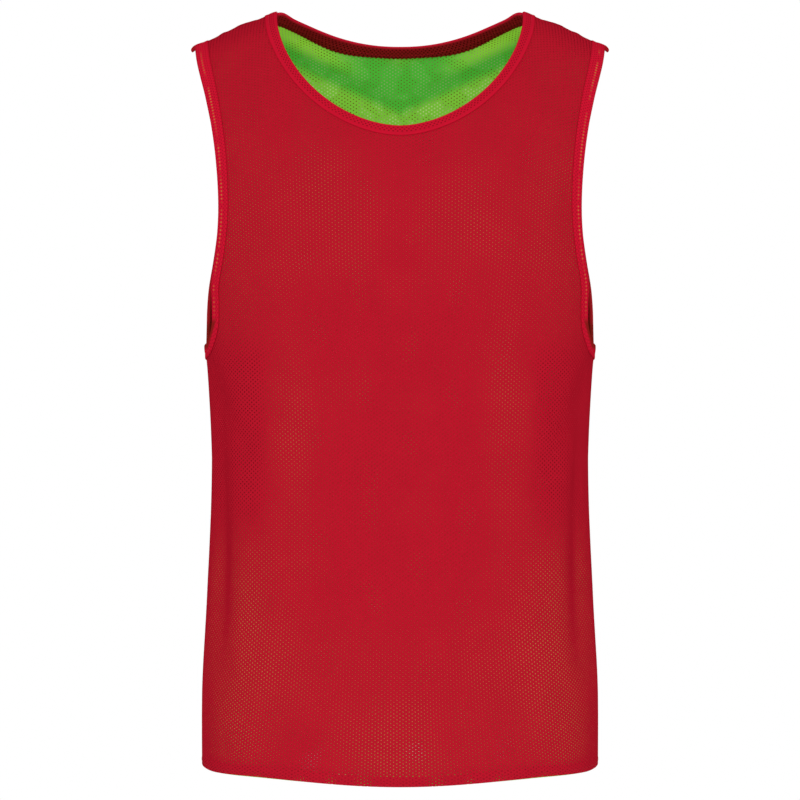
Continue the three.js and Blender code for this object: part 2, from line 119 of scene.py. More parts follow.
# Neckline by side: drop at the centre, roundness, how steeply it falls from the neck point
NECKLINES = {FRONT: (121, 1.83, 1.08), BACK: (22, 2.2, 3.0)}

# Net of half a panel, in coarse cells that are each split into FINENESS by FINENESS
FINENESS = 6
NECK_COLUMNS, SHOULDER_COLUMNS, UNDERARM_COLUMNS = 5, 5, 5
SIDE_ROWS = 12
CHEST_ROWS = {FRONT: 6, BACK: 9}
NECK_ROWS = {FRONT: 6, BACK: 3}
RELAX_SWEEPS = 500
OVER_RELAX = 1.93

CURVE_STEPS = 100
EDGE_STEPS = 400
ROW_STEP = 1.0
SECTION_STEPS = 256
NORMAL_STEP = 3.0
HALVINGS = 40
JUST_INSIDE = 1e-6

# Cloth layers as distances from the wearer's side: face that shows, hidden face, and the same
# for the turned-up hem behind it
LAYERS = {
    "shell": {"shows": 2.3, "hidden": 2.05, "turn_shows": 1.73, "turn_hidden": 1.98},
    "lining": {"shows": 1.0, "hidden": 1.25, "turn_shows": 1.57, "turn_hidden": 1.32},
}
# Hidden faces above the turned hems, where the lining's lies close behind the shell's
PRESSED = {"shell": 2.05, "lining": 1.92}
PRESSED_ABOVE = 4.0
# Hem of each layer: lowered all along, lifted midway to each side seam
HEMS = {"shell": (0.0, 5.0), "lining": (-0.8, 3.75)}
HEM_TURN = 9.0
# The hem rises a little beside each side seam, over this girth
HEM_CORNER_RISE, HEM_CORNER_GIRTH = 5.0, 55.0
HEM_TURN_ROWS = 4
HEM_BEND_STEPS = 4

# Mesh cloth: pitch of the hole columns and rows by height, as the cloth is stretched there
PITCHES = np.array([
    (-740, 2.95, 2.8), (-700, 2.85, 3.1), (-640, 2.7, 3.45), (-540, 2.5, 3.85),
    (-430, 2.5, 3.85), (-330, 2.6, 3.7), (-240, 2.85, 3.5), (-120, 2.95, 3.45),
    (10, 2.95, 3.4),
])
PLAIN_COLUMN, PLAIN_ROW = 2.7, 3.6
LINING_STRETCH = (1.06, 0.96)
# How far the uneven pull of the cloth moves its holes, in columns and in rows
CLOTH_PULL = 1.5

# Section of the folded neck tape: width from the cut edge, distance from the wearer's side
TAPE_SECTION = np.array([
    (11, 2.4), (11.15, 2.9), (10.7, 3.35), (9.5, 3.5), (8.2, 3.3), (7.4, 3.05), (6.5, 3.2),
    (4.5, 3.4), (2.5, 3.45), (1, 3.4), (-0.6, 3.2), (-1.3, 2.3), (-1.5, 1.2), (-1.3, 0),
    (-0.6, -0.6), (1, -0.7), (3, -0.7), (6, -0.6), (9.5, -0.3), (11, 0.1), (11.15, 0.5),
    (11, 0.9), (9, 0.95), (0.2, 0.95), (-0.25, 1.6), (0.2, 2.35), (9, 2.35),
])
TAPE_STEP = 0.8
# Width of the finished tapes, round the neck in front and behind and round the armholes
FRONT_TAPE, BACK_TAPE, ARMHOLE_TAPE = 8.8, 11.0, 11.2
TAPE_NARROWING = (-12, 28)
# Inner leg of the neck tape, which is the part of its section nearer the wearer than this
INNER_LEG = 1
# Its extra share of width behind, and the distances from the centre and the run that this takes
INNER_LEG_EXTRA, WIDER_FROM, WIDER_TO, WIDER_RUN = 0.45, 15, 70, 10
# Length along the section at its rim, from which the columns of holes are counted
TAPE_RIM = 11.95
TAPE_HOLE_COLUMN, TAPE_HOLE_ROW = 2.1, 3.8
TAPE_HOLE_RADIUS = 0.75
# Notches of the free edge on the wearer's side: half their depth, and their pitch
TAPE_NOTCH, TAPE_NOTCH_PITCH = 0.45, 4.0

# Ear of each armhole tape at the shoulder tip: reach, half length, droop, and width of the tape
# that it draws out
EAR_REACH, EAR_SPREAD, EAR_DROOP, EAR_WIDTH = 4.8, 4.2, 2.0, 3

# Raised seams: place across the seam, distance from the wearer's side
SEAM_SECTION = np.array([
    (-1.7, 2.35), (-1.2, 2.8), (-0.5, 2.95), (0, 2.72), (0.5, 2.95), (1.2, 2.8), (1.7, 2.35),
    (0.8, 2.22), (-0.8, 2.22),
])
SEAM_STEP = 2.0
# Puckers of the seams: heights, half width of the ridge that puckers, lengths of the slow wave,
# the fast wave and the drift of the slow one, how far that drifts and where the fast one
# starts, and the mean and the shares of both waves
SEAM_PUCKER, SHOULDER_PUCKER, PUCKER_WIDTH = 0.3, 0.5, 2
SLOW_PUCKER, FAST_PUCKER, PUCKER_DRIFT = 2.3, 1.1, 9.0
PUCKER_SWING, FAST_START = 1.1, 2.0
PUCKER_MEAN, SLOW_SHARE, FAST_SHARE = 0.5, 0.35, 0.15

# Stitches: pitch, length, half width, and the rings that shape one: place as a share of its
# length, size and lift as shares of its half width
STITCH_PITCH, STITCH_LENGTH, STITCH_RADIUS = 3.0, 2.3, 0.24
STITCH_RINGS = (
    (-0.5, 0.3, -0.5), (-0.3, 0.9, 0.1), (0.0, 1.0, 0.35), (0.3, 0.9, 0.1), (0.5, 0.3, -0.5),
)
STITCH_SIDES = 6
HEM_STITCH_UP = 3.6
TAPE_STITCH_WIDTH = 7.4
TAPE_STITCH_OUTSIDE, TAPE_STITCH_INSIDE = 3.1, -0.55


def smooth_curve(corners):
    """Points of a centripetal Catmull-Rom curve through the corners."""
    p = np.array(corners, float)
    p = np.vstack([2 * p[0] - p[1], p, 2 * p[-1] - p[-2]])
    t = np.arange(CURVE_STEPS)[:, None] / CURVE_STEPS
    pieces = []
    for before, start, end, after in zip(p, p[1:], p[2:], p[3:]):
        spans = ((before, start), (start, end), (end, after))
        d0, d1, d2 = (math.dist(a, b) ** 0.5 for a, b in spans)
        leave = ((start - before) / d0 - (end - before) / (d0 + d1)) * d1 + (end - start)
        arrive = (end - start) - ((after - start) / (d1 + d2) - (after - end) / d2) * d1
        bend = 3 * (end - start) - 2 * leave - arrive
        twist = 2 * (start - end) + leave + arrive
        pieces.append(start + t * (leave + t * (bend + t * twist)))
    return np.vstack(pieces + [p[-2:-1]])


def along(points):
    """Length of a line up to each of its points."""
    return np.concatenate([[0], np.cumsum(np.linalg.norm(np.diff(points, axis=0), axis=1))])


def evenly(points, count):
    """The line again as count + 1 points at even distances."""
    lengths = along(points)
    wanted = np.linspace(0, lengths[-1], count + 1)
    return np.stack([np.interp(wanted, lengths, column) for column in points.T], axis=1)


def ease(share):
    """Share clipped to 0 and 1, and soft at both ends."""
    share = np.clip(share, 0, 1)
    return share * share * (3 - 2 * share)


def section_column(z, column):
    """One column of the section table at a height, on a smooth curve through its rows."""
    table = np.vstack([SECTIONS[:1], SECTIONS, SECTIONS[-1:]])
    row = np.clip(np.searchsorted(SECTIONS[:, 0], z) - 1, 0, len(SECTIONS) - 2)
    span = SECTIONS[row + 1, 0] - SECTIONS[row, 0]
    t = np.clip((z - SECTIONS[row, 0]) / span, 0, 1)
    before, start, end, after = (table[row + k, column] for k in range(4))
    bend = 2 * before - 5 * start + 4 * end - after
    twist = 3 * start - before - 3 * end + after
    return start + 0.5 * t * (end - before + t * (bend + t * twist))


def shoulder_drop(x, run):
    """How far the sloping shoulder lies below the ridge, fading out at the underarm."""
    beyond = np.abs(x) - SHOULDER_SLOPE_START
    drop = SHOULDER_SLOPE * (beyond + np.hypot(beyond, SHOULDER_SOFTENING)) / 2
    return drop * (1 - ease(np.abs(run) / UNDERARM_DROP))


def unit(vectors):
    return vectors / np.linalg.norm(vectors, axis=-1, keepdims=True)


class Form:
    """Surface of the worn bib, from its centre line, its sections and its folds."""

    def __init__(self):
        line = smooth_curve(CENTRE_LINE)
        lengths = along(line)
        lengths -= lengths[RIDGE_ROW * CURVE_STEPS]
        self.runs = np.arange(lengths[0], lengths[-1], ROW_STEP)
        self.heights = np.interp(self.runs, lengths, line[:, 1])
        middle = np.interp(self.runs, lengths, line[:, 0])
        half_width, square = (section_column(self.heights, k) for k in (1, 2))
        angle = np.linspace(0, math.pi / 2, SECTION_STEPS + 1)
        power = 2 / square[:, None]
        x = half_width[:, None] * np.sin(angle) ** power
        y = middle[:, None] * np.cos(angle).clip(0) ** power
        sections = np.stack([x, y], axis=-1)
        self.girths = np.array([along(section)[-1] for section in sections])
        self.x, self.y = np.moveaxis([evenly(line, SECTION_STEPS) for line in sections], -1, 0)
        steps = ROW_STEP / np.interp(self.heights, PITCHES[:, 0], PITCHES[:, 2])
        self.hole_rows = np.cumsum(steps) - np.interp(0, self.runs, np.cumsum(steps))

    def height(self, run):
        return np.interp(run, self.runs, self.heights)

    def quarter_girth(self, run):
        return np.interp(run, self.runs, self.girths)

    def plain_point(self, across, run):
        """Point of the form without its folds."""
        row = np.clip((run - self.runs[0]) / ROW_STEP, 0, len(self.runs) - 1 - JUST_INSIDE)
        share = np.clip(np.abs(across) / self.quarter_girth(run), 0, 1)
        column = np.minimum(share * SECTION_STEPS, SECTION_STEPS - JUST_INSIDE)
        i, j = row.astype(int), column.astype(int)
        u, v = row - i, column - j
        x, y = (
            (1 - u) * ((1 - v) * t[i, j] + v * t[i, j + 1])
            + u * ((1 - v) * t[i + 1, j] + v * t[i + 1, j + 1])
            for t in (self.x, self.y)
        )
        return np.stack([x * np.sign(across), y, self.height(run) - shoulder_drop(x, run)], axis=-1)

    def fold_depth(self, across, run):
        """Depth of all folds, soft across each line and fading at both of its ends."""
        z = self.height(run)
        depth = np.zeros_like(z)
        for side, start, end, width, deep in MAIN_FOLDS + CREASES:
            line = np.subtract(end, start)
            length = math.hypot(*line)
            dx, dz = np.abs(across) - start[0], z - start[1]
            share = np.clip((dx * line[0] + dz * line[1]) / length**2, 0, 1)
            off = (dx * line[1] - dz * line[0]) / length
            soft = 4 * share * (1 - share) * np.exp(-((off / width) ** 2))
            depth += np.where(side * run > 0, deep * soft, 0)
        for place, middle, width, length, deep in DIPS:
            off = ((np.abs(across) - place) / width) ** 2 + ((run - middle) / length) ** 2
            depth += deep * np.exp(-off)
        return depth

    def _normal(self, surface, across, run):
        step = NORMAL_STEP
        a = surface(across + step, run) - surface(across - step, run)
        b = surface(across, run + step) - surface(across, run - step)
        return unit(np.cross(b, a))

    def point(self, across, run):
        girth = self.quarter_girth(run)
        across = np.clip(across, -girth, girth)
        normal = self._normal(self.plain_point, across, run)
        return self.plain_point(across, run) - normal * self.fold_depth(across, run)[..., None]

    def place(self, across, run):
        """Point of the form and its normal, which points away from the wearer."""
        across, run = np.asarray(across, float), np.asarray(run, float)
        return self.point(across, run), self._normal(self.point, across, run)

    def lifted(self, across, run, far):
        """Point at a distance from the wearer's side of the cloth."""
        point, normal = self.place(across, run)
        return point + normal * far

    def run_at_height(self, side, across, z):
        """Run from the ridge at which the form reaches a height."""
        across, z = np.broadcast_arrays(np.asarray(across, float), z)
        high = np.zeros_like(across)
        low = np.full_like(across, min(-self.runs[0], self.runs[-1]) - ROW_STEP)
        for _ in range(HALVINGS):
            middle = (low + high) / 2
            above = self.plain_point(across, side * middle)[..., 2] > z
            high, low = np.where(above, middle, high), np.where(above, low, middle)
        return side * (low + high) / 2

    def holes_at(self, across, run, stretch=(1, 1)):
        """Place on the cloth counted in columns and rows of holes."""
        column = np.interp(self.height(run), PITCHES[:, 0], PITCHES[:, 1])
        rows = np.interp(run, self.runs, self.hole_rows)
        return np.stack([across / column * stretch[0], rows * stretch[1]], axis=-1)

    def neck_line(self, side):
        """Neckline from the centre to the neck point at the shoulder seam."""
        drop, roundness, fall = NECKLINES[side]
        angle = np.linspace(0, math.pi / 2, EDGE_STEPS + 1)
        across = NECK_HALF_WIDTH * np.sin(angle) ** (2 / roundness)
        down = drop * np.cos(angle).clip(0) ** fall
        ridge = self.plain_point(across, np.zeros_like(across))[:, 2]
        run = self.run_at_height(side, across, ridge - down)
        run[-1] = 0
        return np.stack([across, run], axis=1)

    def armhole_line(self, side):
        """Armhole from the side seam to the shoulder tip."""
        tip_height = self.plain_point(np.array(SHOULDER_TIP), np.array(0.0))[2]
        underarm = self.run_at_height(side, SHOULDER_TIP, -UNDERARM_DROP)
        rise, across = ARMHOLE[:, 0], ARMHOLE[:, 1 if side == FRONT else 2]
        run = self.run_at_height(side, across, rise * (tip_height + UNDERARM_DROP) - UNDERARM_DROP)
        corners = [(self.quarter_girth(underarm), underarm), *zip(across, run), (SHOULDER_TIP, 0)]
        return evenly(smooth_curve(corners), EDGE_STEPS)


FORM = Form()


def beside(line, width, first, last):
    """Line drawn at a distance beside an edge; its ends slide along the seams they meet."""
    ahead = np.vstack([line[1:], line[-1:]])
    behind = np.vstack([line[:1], line[:-1]])
    direction = unit(ahead - behind)
    moved = line + width * np.stack([-direction[:, 1], direction[:, 0]], axis=1)
    moved[0], moved[-1] = line[0] + first, line[-1] + last
    return moved


def half_net(side):
    """Places on half a panel as a grid (column, row), and which of them exist."""
    k = FINENESS
    neck_column = NECK_COLUMNS * k
    arm_column = neck_column + SHOULDER_COLUMNS * k
    side_column = arm_column + UNDERARM_COLUMNS * k
    arm_row = SIDE_ROWS * k
    neck_row = arm_row + CHEST_ROWS[side] * k
    top_row = neck_row + NECK_ROWS[side] * k
    i, j = np.mgrid[: side_column + 1, : top_row + 1]
    exists = (j <= arm_row) | ((i <= arm_column) & ((j <= neck_row) | (i >= neck_column)))
    hem_run = float(FORM.run_at_height(side, 0, -HEM_DROP))
    hem_girth = float(FORM.quarter_girth(hem_run))
    net = np.stack([hem_girth * i / side_column, hem_run * (1 - j / top_row)], axis=-1)
    pinned = np.zeros(exists.shape, bool)

    def pin(path, points):
        columns, rows = np.transpose(path)
        net[columns, rows] = points
        pinned[columns, rows] = True

    # Lines beside the neckline and the armhole, each one fine cell further in: the edge, its
    # band, the column where it starts, its corner, and the way it goes over the columns
    edges = (
        (FORM.neck_line(side), NECK_BAND, 0, neck_column, neck_row, 1),
        (FORM.armhole_line(side), ARMHOLE_BAND, side_column, arm_column, arm_row, -1),
    )
    for w in range(k, -1, -1):
        for edge, band, start, corner, row, way in edges:
            width, corner, row = band * w / k, corner + way * w, row - w
            path = [(c, row) for c in range(start, corner, way)]
            path += [(corner, r) for r in range(row, top_row + 1)]
            line = beside(edge, way * side * width, (0, side * width), (way * width, 0))
            pin(path, evenly(line, len(path) - 1))

    # Shoulder seam between the bands, hem, and side seam
    columns = np.arange(neck_column + k, arm_column - k + 1)
    seam = np.linspace(NECK_HALF_WIDTH + NECK_BAND, SHOULDER_TIP - ARMHOLE_BAND, len(columns))
    pin([(c, top_row) for c in columns], np.stack([seam, 0 * seam], axis=1))
    columns = np.arange(side_column + 1)
    girth = hem_girth * columns / side_column
    pin([(c, 0) for c in columns], np.stack([girth, 0 * girth + hem_run], axis=1))
    rows = np.arange(1, arm_row - k + 1)
    drops = HEM_DROP + (UNDERARM_DROP + ARMHOLE_BAND - HEM_DROP) * rows / (arm_row - k)
    runs = FORM.run_at_height(side, SHOULDER_TIP, -drops)
    pin([(side_column, r) for r in rows], np.stack([runs, runs], axis=1))
    net[-1, : arm_row + 1, 0] = FORM.quarter_girth(net[-1, : arm_row + 1, 1])

    # The rest settles at the mean of its neighbours, alternate cells at a time
    loose = (exists & ~pinned)[:-1, 1:-1]
    turns = [loose & ((i + j) % 2 == colour)[:-1, 1:-1] for colour in (0, 1)]
    for _ in range(RELAX_SWEEPS):
        for turn in turns:
            mirrored = net[1:2] * (-1, 1)
            wide = np.concatenate([mirrored, net])
            mean = (wide[2:, 1:-1] + wide[:-2, 1:-1] + wide[1:-1, :-2] + wide[1:-1, 2:]) / 4
            inside = net[:-1, 1:-1]
            inside[turn] += OVER_RELAX * (mean - inside)[turn]
    return net, exists


NETS = {side: half_net(side) for side in (FRONT, BACK)}


def cell_corners(grid):
    """What a grid holds at the four corners of its cells, in order round each cell."""
    return grid[:-1, :-1], grid[1:, :-1], grid[1:, 1:], grid[:-1, 1:]


def open_edges(faces):
    """Directed edges that only one face uses."""
    used = dict.fromkeys(edge for face in faces for edge in zip(face, face[1:] + face[:1]))
    return [edge for edge in used if edge[::-1] not in used]


def add_piece(name, points, faces, finish, stands_for=(), places=None, back=None):
    """Makes a mesh piece from millimetre points, with a place on the cloth for each face corner.

    A panel's back is the finish of its hidden face, and the count of its wall faces: half of
    them show, half are hidden, and the rim comes after them.
    """
    mesh = bpy.data.meshes.new(name)
    mesh.from_pydata((np.asarray(points) * MM).tolist(), [], faces)
    mesh.shade_smooth()
    if places is not None:
        layer = mesh.uv_layers.new(name="cloth")
        layer.data.foreach_set("uv", np.asarray(places, np.float32).ravel())
    mesh.materials.append(finish)
    if back is not None:
        hidden_finish, walls = back
        mesh.materials.append(hidden_finish)
        face = np.arange(len(mesh.polygons))
        hidden = (face >= walls // 2) & (face < walls)
        mesh.polygons.foreach_set("material_index", hidden.astype(np.int32))
        mesh.polygons.foreach_set("use_smooth", face < walls)
    piece = bpy.data.objects.new(name, mesh)
    bpy.context.scene.collection.objects.link(piece)
    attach(piece, "root")
    if stands_for:
        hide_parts(*stands_for)
    return piece


def hem_shift(layer, share, girth):
    """How far a hem hangs below its line, by the share of the way to the side seam."""
    lowered, lift = HEMS[layer]
    share = np.abs(share)
    corner = np.exp(-(((1 - share) * girth / HEM_CORNER_GIRTH) ** 3))
    return lowered - lift * np.sin(math.pi * share) ** 2 - HEM_CORNER_RISE * corner


def hem_profile(layer):
    """Rows below the hem line: how far down, the two faces, and the cloth used so far."""
    at = LAYERS[layer]
    middle = (at["shows"] + at["turn_shows"]) / 2
    outer, inner = ((at[face] - at[f"turn_{face}"]) / 2 for face in ("shows", "hidden"))
    rows = []
    for angle in np.linspace(0, math.pi, HEM_BEND_STEPS + 1)[1:]:
        down, across = math.sin(angle), math.cos(angle)
        rows.append((
            abs(outer) * down, middle + outer * across,
            abs(inner) * down, middle + inner * across,
            abs(outer) * angle,
        ))
    bend = abs(outer) * math.pi
    for up in np.linspace(0, HEM_TURN, HEM_TURN_ROWS + 1)[1:]:
        rows.append((-up, at["turn_shows"], -up, at["turn_hidden"], bend + up))
    return rows


def panel_mesh(layer, side):
    """Points, faces, cloth places and the count of wall faces of a whole panel."""
    net, exists = NETS[side]
    columns = len(net)
    down = hem_shift(layer, np.arange(columns) / (columns - 1), net[-1, 0, 0])
    fade = np.clip(1 - np.arange(net.shape[1]) / FINENESS, 0, 1)
    across, run = net[..., 0].copy(), net[..., 1] + side * down[:, None] * fade
    across[-1] -= SEAM_GAP / 2
    run[:, -1] += side * SEAM_GAP / 2

    at = LAYERS[layer]
    stretch = LINING_STRETCH if layer == "lining" else (1, 1)
    above_hem = (np.abs(run[:, :1] - run) - HEM_TURN) / PRESSED_ABOVE
    hidden = at["hidden"] + (PRESSED[layer] - at["hidden"]) * np.clip(above_hem, 0, 1)
    rows = [(run, at["shows"], run, hidden[..., None], 0)]
    for down_shows, shows, down_hidden, hidden, used in hem_profile(layer):
        hem = run[:, :1]
        rows.insert(0, (hem + side * down_shows, shows, hem + side * down_hidden, hidden, used))
    shown, hidden, cloth = [], [], []
    for run_shows, distance, run_hidden, hidden_distance, used in rows:
        girth = across[:, : run_shows.shape[1]]
        shown.append(FORM.lifted(girth, run_shows, distance))
        hidden.append(FORM.lifted(girth, run_hidden, hidden_distance))
        place = run if used == 0 else run[:, :1] + side * used
        cloth.append(FORM.holes_at(girth, place, stretch))
    shown, hidden, cloth = (np.concatenate(grids, axis=1) for grids in (shown, hidden, cloth))
    turned = len(rows) - 1
    exists = np.concatenate([np.ones((columns, turned), bool), exists], axis=1)

    # Both hands of the panel, mirrored about the centre line
    flip = np.array([-1, 1, 1])
    shown, hidden = (np.concatenate([(g * flip)[:0:-1], g]) for g in (shown, hidden))
    cloth = np.concatenate([(cloth * flip[:2])[:0:-1], cloth])
    exists = np.concatenate([exists[:0:-1], exists])
    index = np.cumsum(exists.ravel()).reshape(exists.shape) - 1
    count = int(exists.sum())
    whole = np.logical_and.reduce(cell_corners(exists))
    quads = np.stack([corner[whole] for corner in cell_corners(index)], axis=1)
    if (side == FRONT) != (layer == "shell"):
        quads = quads[:, ::-1]
    face = [tuple(q) for q in quads.tolist()]
    back = [tuple(k + count for k in q[::-1]) for q in face]
    rim = [(b, a, a + count, b + count) for a, b in open_edges(face)]
    points = np.concatenate([shown[exists], hidden[exists]])
    faces = face + back + rim
    places = np.concatenate([cloth[exists], cloth[exists]])[np.concatenate(faces)]
    return points, faces, places, len(face) + len(back)


def neck_edge():
    """Closed line round the neckline, and at each place the direction into the cloth."""
    half = np.vstack([FORM.neck_line(FRONT), FORM.neck_line(BACK)[-2::-1]])
    loop = np.vstack([half, half[-2::-1] * (-1, 1)])
    line = evenly(loop, round(along(loop)[-1] / TAPE_STEP))[:-1]
    direction = unit(np.roll(line, -1, axis=0) - np.roll(line, 1, axis=0))
    return line, np.stack([-direction[:, 1], direction[:, 0]], axis=1)


def armhole_edge():
    """Closed line round the left armhole from its underarm, and the direction into the cloth."""
    loop = np.vstack([FORM.armhole_line(BACK), FORM.armhole_line(FRONT)[-2::-1]])
    line = evenly(loop, round(along(loop)[-1] / TAPE_STEP))
    direction = unit(np.gradient(line, axis=0))
    inward = np.stack([-direction[:, 1], direction[:, 0]], axis=1)
    inward[0], inward[-1] = (0, BACK), (0, FRONT)
    return line[:-1], inward[:-1]


def neck_tape_width(line):
    """Width of the neck tape along its edge, narrower in front."""
    first, last = TAPE_NARROWING
    return BACK_TAPE + (FRONT_TAPE - BACK_TAPE) * ease((line[:, 1] - first) / (last - first))


def inner_leg_width(line):
    """Width of the neck tape's inner leg along its edge, widest beside the back neck."""
    aside = ease((np.abs(line[:, 0]) - WIDER_FROM) / (WIDER_TO - WIDER_FROM))
    behind = np.clip(-line[:, 1] / WIDER_RUN, 0, 1)
    return BACK_TAPE * (1 + INNER_LEG_EXTRA * aside * behind)


def ring_faces(stations, ring, closed=True):
    """Faces of a section of so many points, swept along so many stations, with ends if open."""
    faces = []
    for i in range(stations if closed else stations - 1):
        here, there = i * ring, (i + 1) % stations * ring
        for j in range(ring):
            k = (j + 1) % ring
            faces.append((here + j, here + k, there + k, there + j))
    if not closed:
        faces.append(tuple(range(ring))[::-1])
        faces.append(tuple(range((stations - 1) * ring, stations * ring)))
    return faces


def swept_tape(edge, widths, inner_widths, has_ear):
    """Folded tape round an edge: points, faces, places in its own holes, and its length."""
    line, inward = edge
    lengths = np.arange(len(line) + 1) * along(line)[-1] / (len(line) - 1)
    whole = lengths[-1]
    tip = np.argmin(np.abs(line[:, 1]))
    near_tip = np.exp(-(((lengths[:-1] - lengths[tip]) / EAR_SPREAD) ** 2)) * has_ear
    notch = TAPE_NOTCH * np.cos(2 * math.pi * lengths[:-1] / TAPE_NOTCH_PITCH)
    rows = []
    for width, far in TAPE_SECTION:
        inner = far < INNER_LEG
        free_edge = inner and width >= NECK_BAND
        leg = inner_widths if inner else widths
        wide = width * leg / NECK_BAND if width > 0 else width
        wide = wide + notch * free_edge
        reach = np.clip(1 - wide / EAR_WIDTH, 0, 1) * near_tip
        where = line + inward * (wide - EAR_REACH * reach)[:, None]
        rows.append(FORM.lifted(*where.T, (far - EAR_DROOP * reach * reach)[:, None]))
    points = np.stack(rows, axis=1)
    count, ring = points.shape[:2]
    faces = [face[::-1] for face in ring_faces(count, ring)]

    # Places for the face corners: across the tape in hole columns, along it in hole rows
    section = np.vstack([TAPE_SECTION, TAPE_SECTION[:1]])
    across = (TAPE_RIM - along(section)) / TAPE_HOLE_COLUMN
    rows_round = round(whole / TAPE_HOLE_ROW)
    lengthwise = lengths / whole * rows_round
    j, i = np.meshgrid(np.arange(ring), np.arange(count))
    corners = ((i + 1, j), (i + 1, j + 1), (i, j + 1), (i, j))
    places = np.stack([np.stack([across[b], lengthwise[a]], axis=-1) for a, b in corners], axis=2)
    return points.reshape(-1, 3), faces, places.reshape(-1, 2), whole


def puckers(lengths, height):
    """Uneven small waves along a seam."""
    slow = np.sin(lengths / SLOW_PUCKER + np.sin(lengths / PUCKER_DRIFT) * PUCKER_SWING)
    fast = np.sin(lengths / FAST_PUCKER + FAST_START)
    return height * (PUCKER_MEAN + SLOW_SHARE * slow + FAST_SHARE * fast)


def shoulder_seam():
    """Seam along the left shoulder ridge, between the two bands."""
    across = np.arange(NECK_HALF_WIDTH + NECK_BAND - 1, SHOULDER_TIP - ARMHOLE_BAND + 1, SEAM_STEP / 2)
    lines = [(across, np.full_like(across, aside)) for aside in SEAM_SECTION[:, 0]]
    return swept_seam(lines, puckers(across, SHOULDER_PUCKER))


def side_seam():
    """Seam down the wearer's left side, from the armhole band to the hem."""
    bottom = HEM_CORNER_RISE - HEM_DROP
    heights = np.arange(-UNDERARM_DROP - ARMHOLE_BAND + 1, bottom, -SEAM_STEP)
    lines = []
    for aside in SEAM_SECTION[:, 0]:
        side = FRONT if aside > 0 else BACK
        run = FORM.run_at_height(side, SHOULDER_TIP, heights)
        lines.append((FORM.quarter_girth(run) - abs(aside), run))
    return swept_seam(lines, puckers(heights, SEAM_PUCKER))


def mirrored(points, faces, places=None):
    """The same mesh for the other hand."""
    points = points * (-1, 1, 1)
    flipped = [face[::-1] for face in faces]
    if places is None:
        return points, flipped
    return points, flipped, places.reshape(len(faces), -1, 2)[:, ::-1].reshape(-1, 2)


def stitch_row(points, normals, closed=False):
    """Points and faces of a row of stitches that lie along a line on the cloth."""
    if closed:
        points, normals = np.vstack([points, points[:1]]), np.vstack([normals, normals[:1]])
    lengths = along(points)
    count = int(lengths[-1] / STITCH_PITCH)
    middles = (np.arange(count) + 0.5) * lengths[-1] / count

    def at(where, table):
        return np.stack([np.interp(where, lengths, column) for column in table.T], axis=1)

    normal = unit(at(middles, normals))
    rings = []
    for share, size, lift in STITCH_RINGS:
        middle = at(middles + share * STITCH_LENGTH, points)
        ahead = unit(at(middles + 0.5, points) - at(middles - 0.5, points))
        aside = np.cross(normal, ahead)
        for k in range(STITCH_SIDES):
            angle = 2 * math.pi * k / STITCH_SIDES
            out = lift + size * math.sin(angle)
            offset = aside * size * math.cos(angle) + normal * out
            rings.append(middle + offset * STITCH_RADIUS)
    faces = ring_faces(len(STITCH_RINGS), STITCH_SIDES, closed=False)
    return joined([(stitch, faces) for stitch in np.stack(rings, axis=1)])


def joined(meshes):
    """Several (points, faces) as one."""
    points, faces, start = [], [], 0
    for some_points, some_faces in meshes:
        points.append(some_points)
        faces += [tuple(k + start for k in face) for face in some_faces]
        start += len(some_points)
    return np.vstack(points), faces


def swept_seam(lines, pucker):
    """Raised seam whose section points follow the given lines of places on the cloth."""
    rows = []
    for (aside, far), (across, run) in zip(SEAM_SECTION, lines):
        lift = pucker * np.clip(1 - abs(aside) / PUCKER_WIDTH, 0, 1)
        rows.append(FORM.lifted(across, run, (far + lift)[:, None]))
    points = np.stack(rows, axis=1)
    return points.reshape(-1, 3), ring_faces(*points.shape[:2], closed=False)


# Looks. Colours are linear, places are in metres, and sizes round a hole in millimetres. Two
# numbers of a kind are the places where a smooth step begins and ends.
WHITE, GREY = (1.0, 1.0, 1.0), (0.5, 0.5, 0.5)
CLOTH_ROUGHNESS, TAPE_ROUGHNESS, THREAD_ROUGHNESS, THREAD_GLOSS = 0.85, 0.8, 0.6, 0.08
DYE_DARK, DYE_LIGHT = 0.95, 1.05
# Noises, in features per metre
COLUMN_PULL_NOISE, ROW_PULL_NOISE, YARN_NOISE, FIBRE_NOISE = 6.0, 9.0, 190.0, 900.0
CLOTH_DYE_NOISE, TAPE_DYE_NOISE, TWIST_NOISE = 34.0, 40.0, 2600.0
GATHER_NOISE, CRINKLE_NOISE = 420.0, 1400.0
# Seams and thread: step, and dark and light tone of the painted shade in a seam's hollows, and
# tones and relief of thread
SHADED_HOLLOWS, HOLLOW_SHADE_TONES = (0.35, 0.65), (0.72, 1.0)
THREAD_TONES, THREAD_RELIEF = (0.75, 1.1), 0.0001

# Mesh cloth: soft edge and rim of a hole, and its least size and spread as shares of the radius
HOLE_EDGE, HOLE_RIM = (0.14, -0.14), (0.62, 0.05)
HOLE_LEAST, HOLE_SPREAD = 0.86, 0.28
# Its ribs in a column and a row, then shares of its shade and of its relief
CLOTH_RIBS, RIB_SHADE, RIM_SHADE = (3, 5), 0.06, 0.3
RIB_RELIEF, RIM_RELIEF, FIBRE_RELIEF = 0.35, 0.8, 0.3
CLOTH_RELIEF, CLOTH_BUMP = 0.00025, 0.6

# Wrong side of the lining seen through the shell's holes, in painted light: lit, lit only by red
# light through the shell, and in painted shade
LINING_PAINTED_LIGHT, LINING_PAINTED_RED_LIGHT, LINING_PAINTED_SHADE = (0.5, 0.3, 0.07), (0.44, 0.02, 0.02), (0.12, 0.006, 0.006)
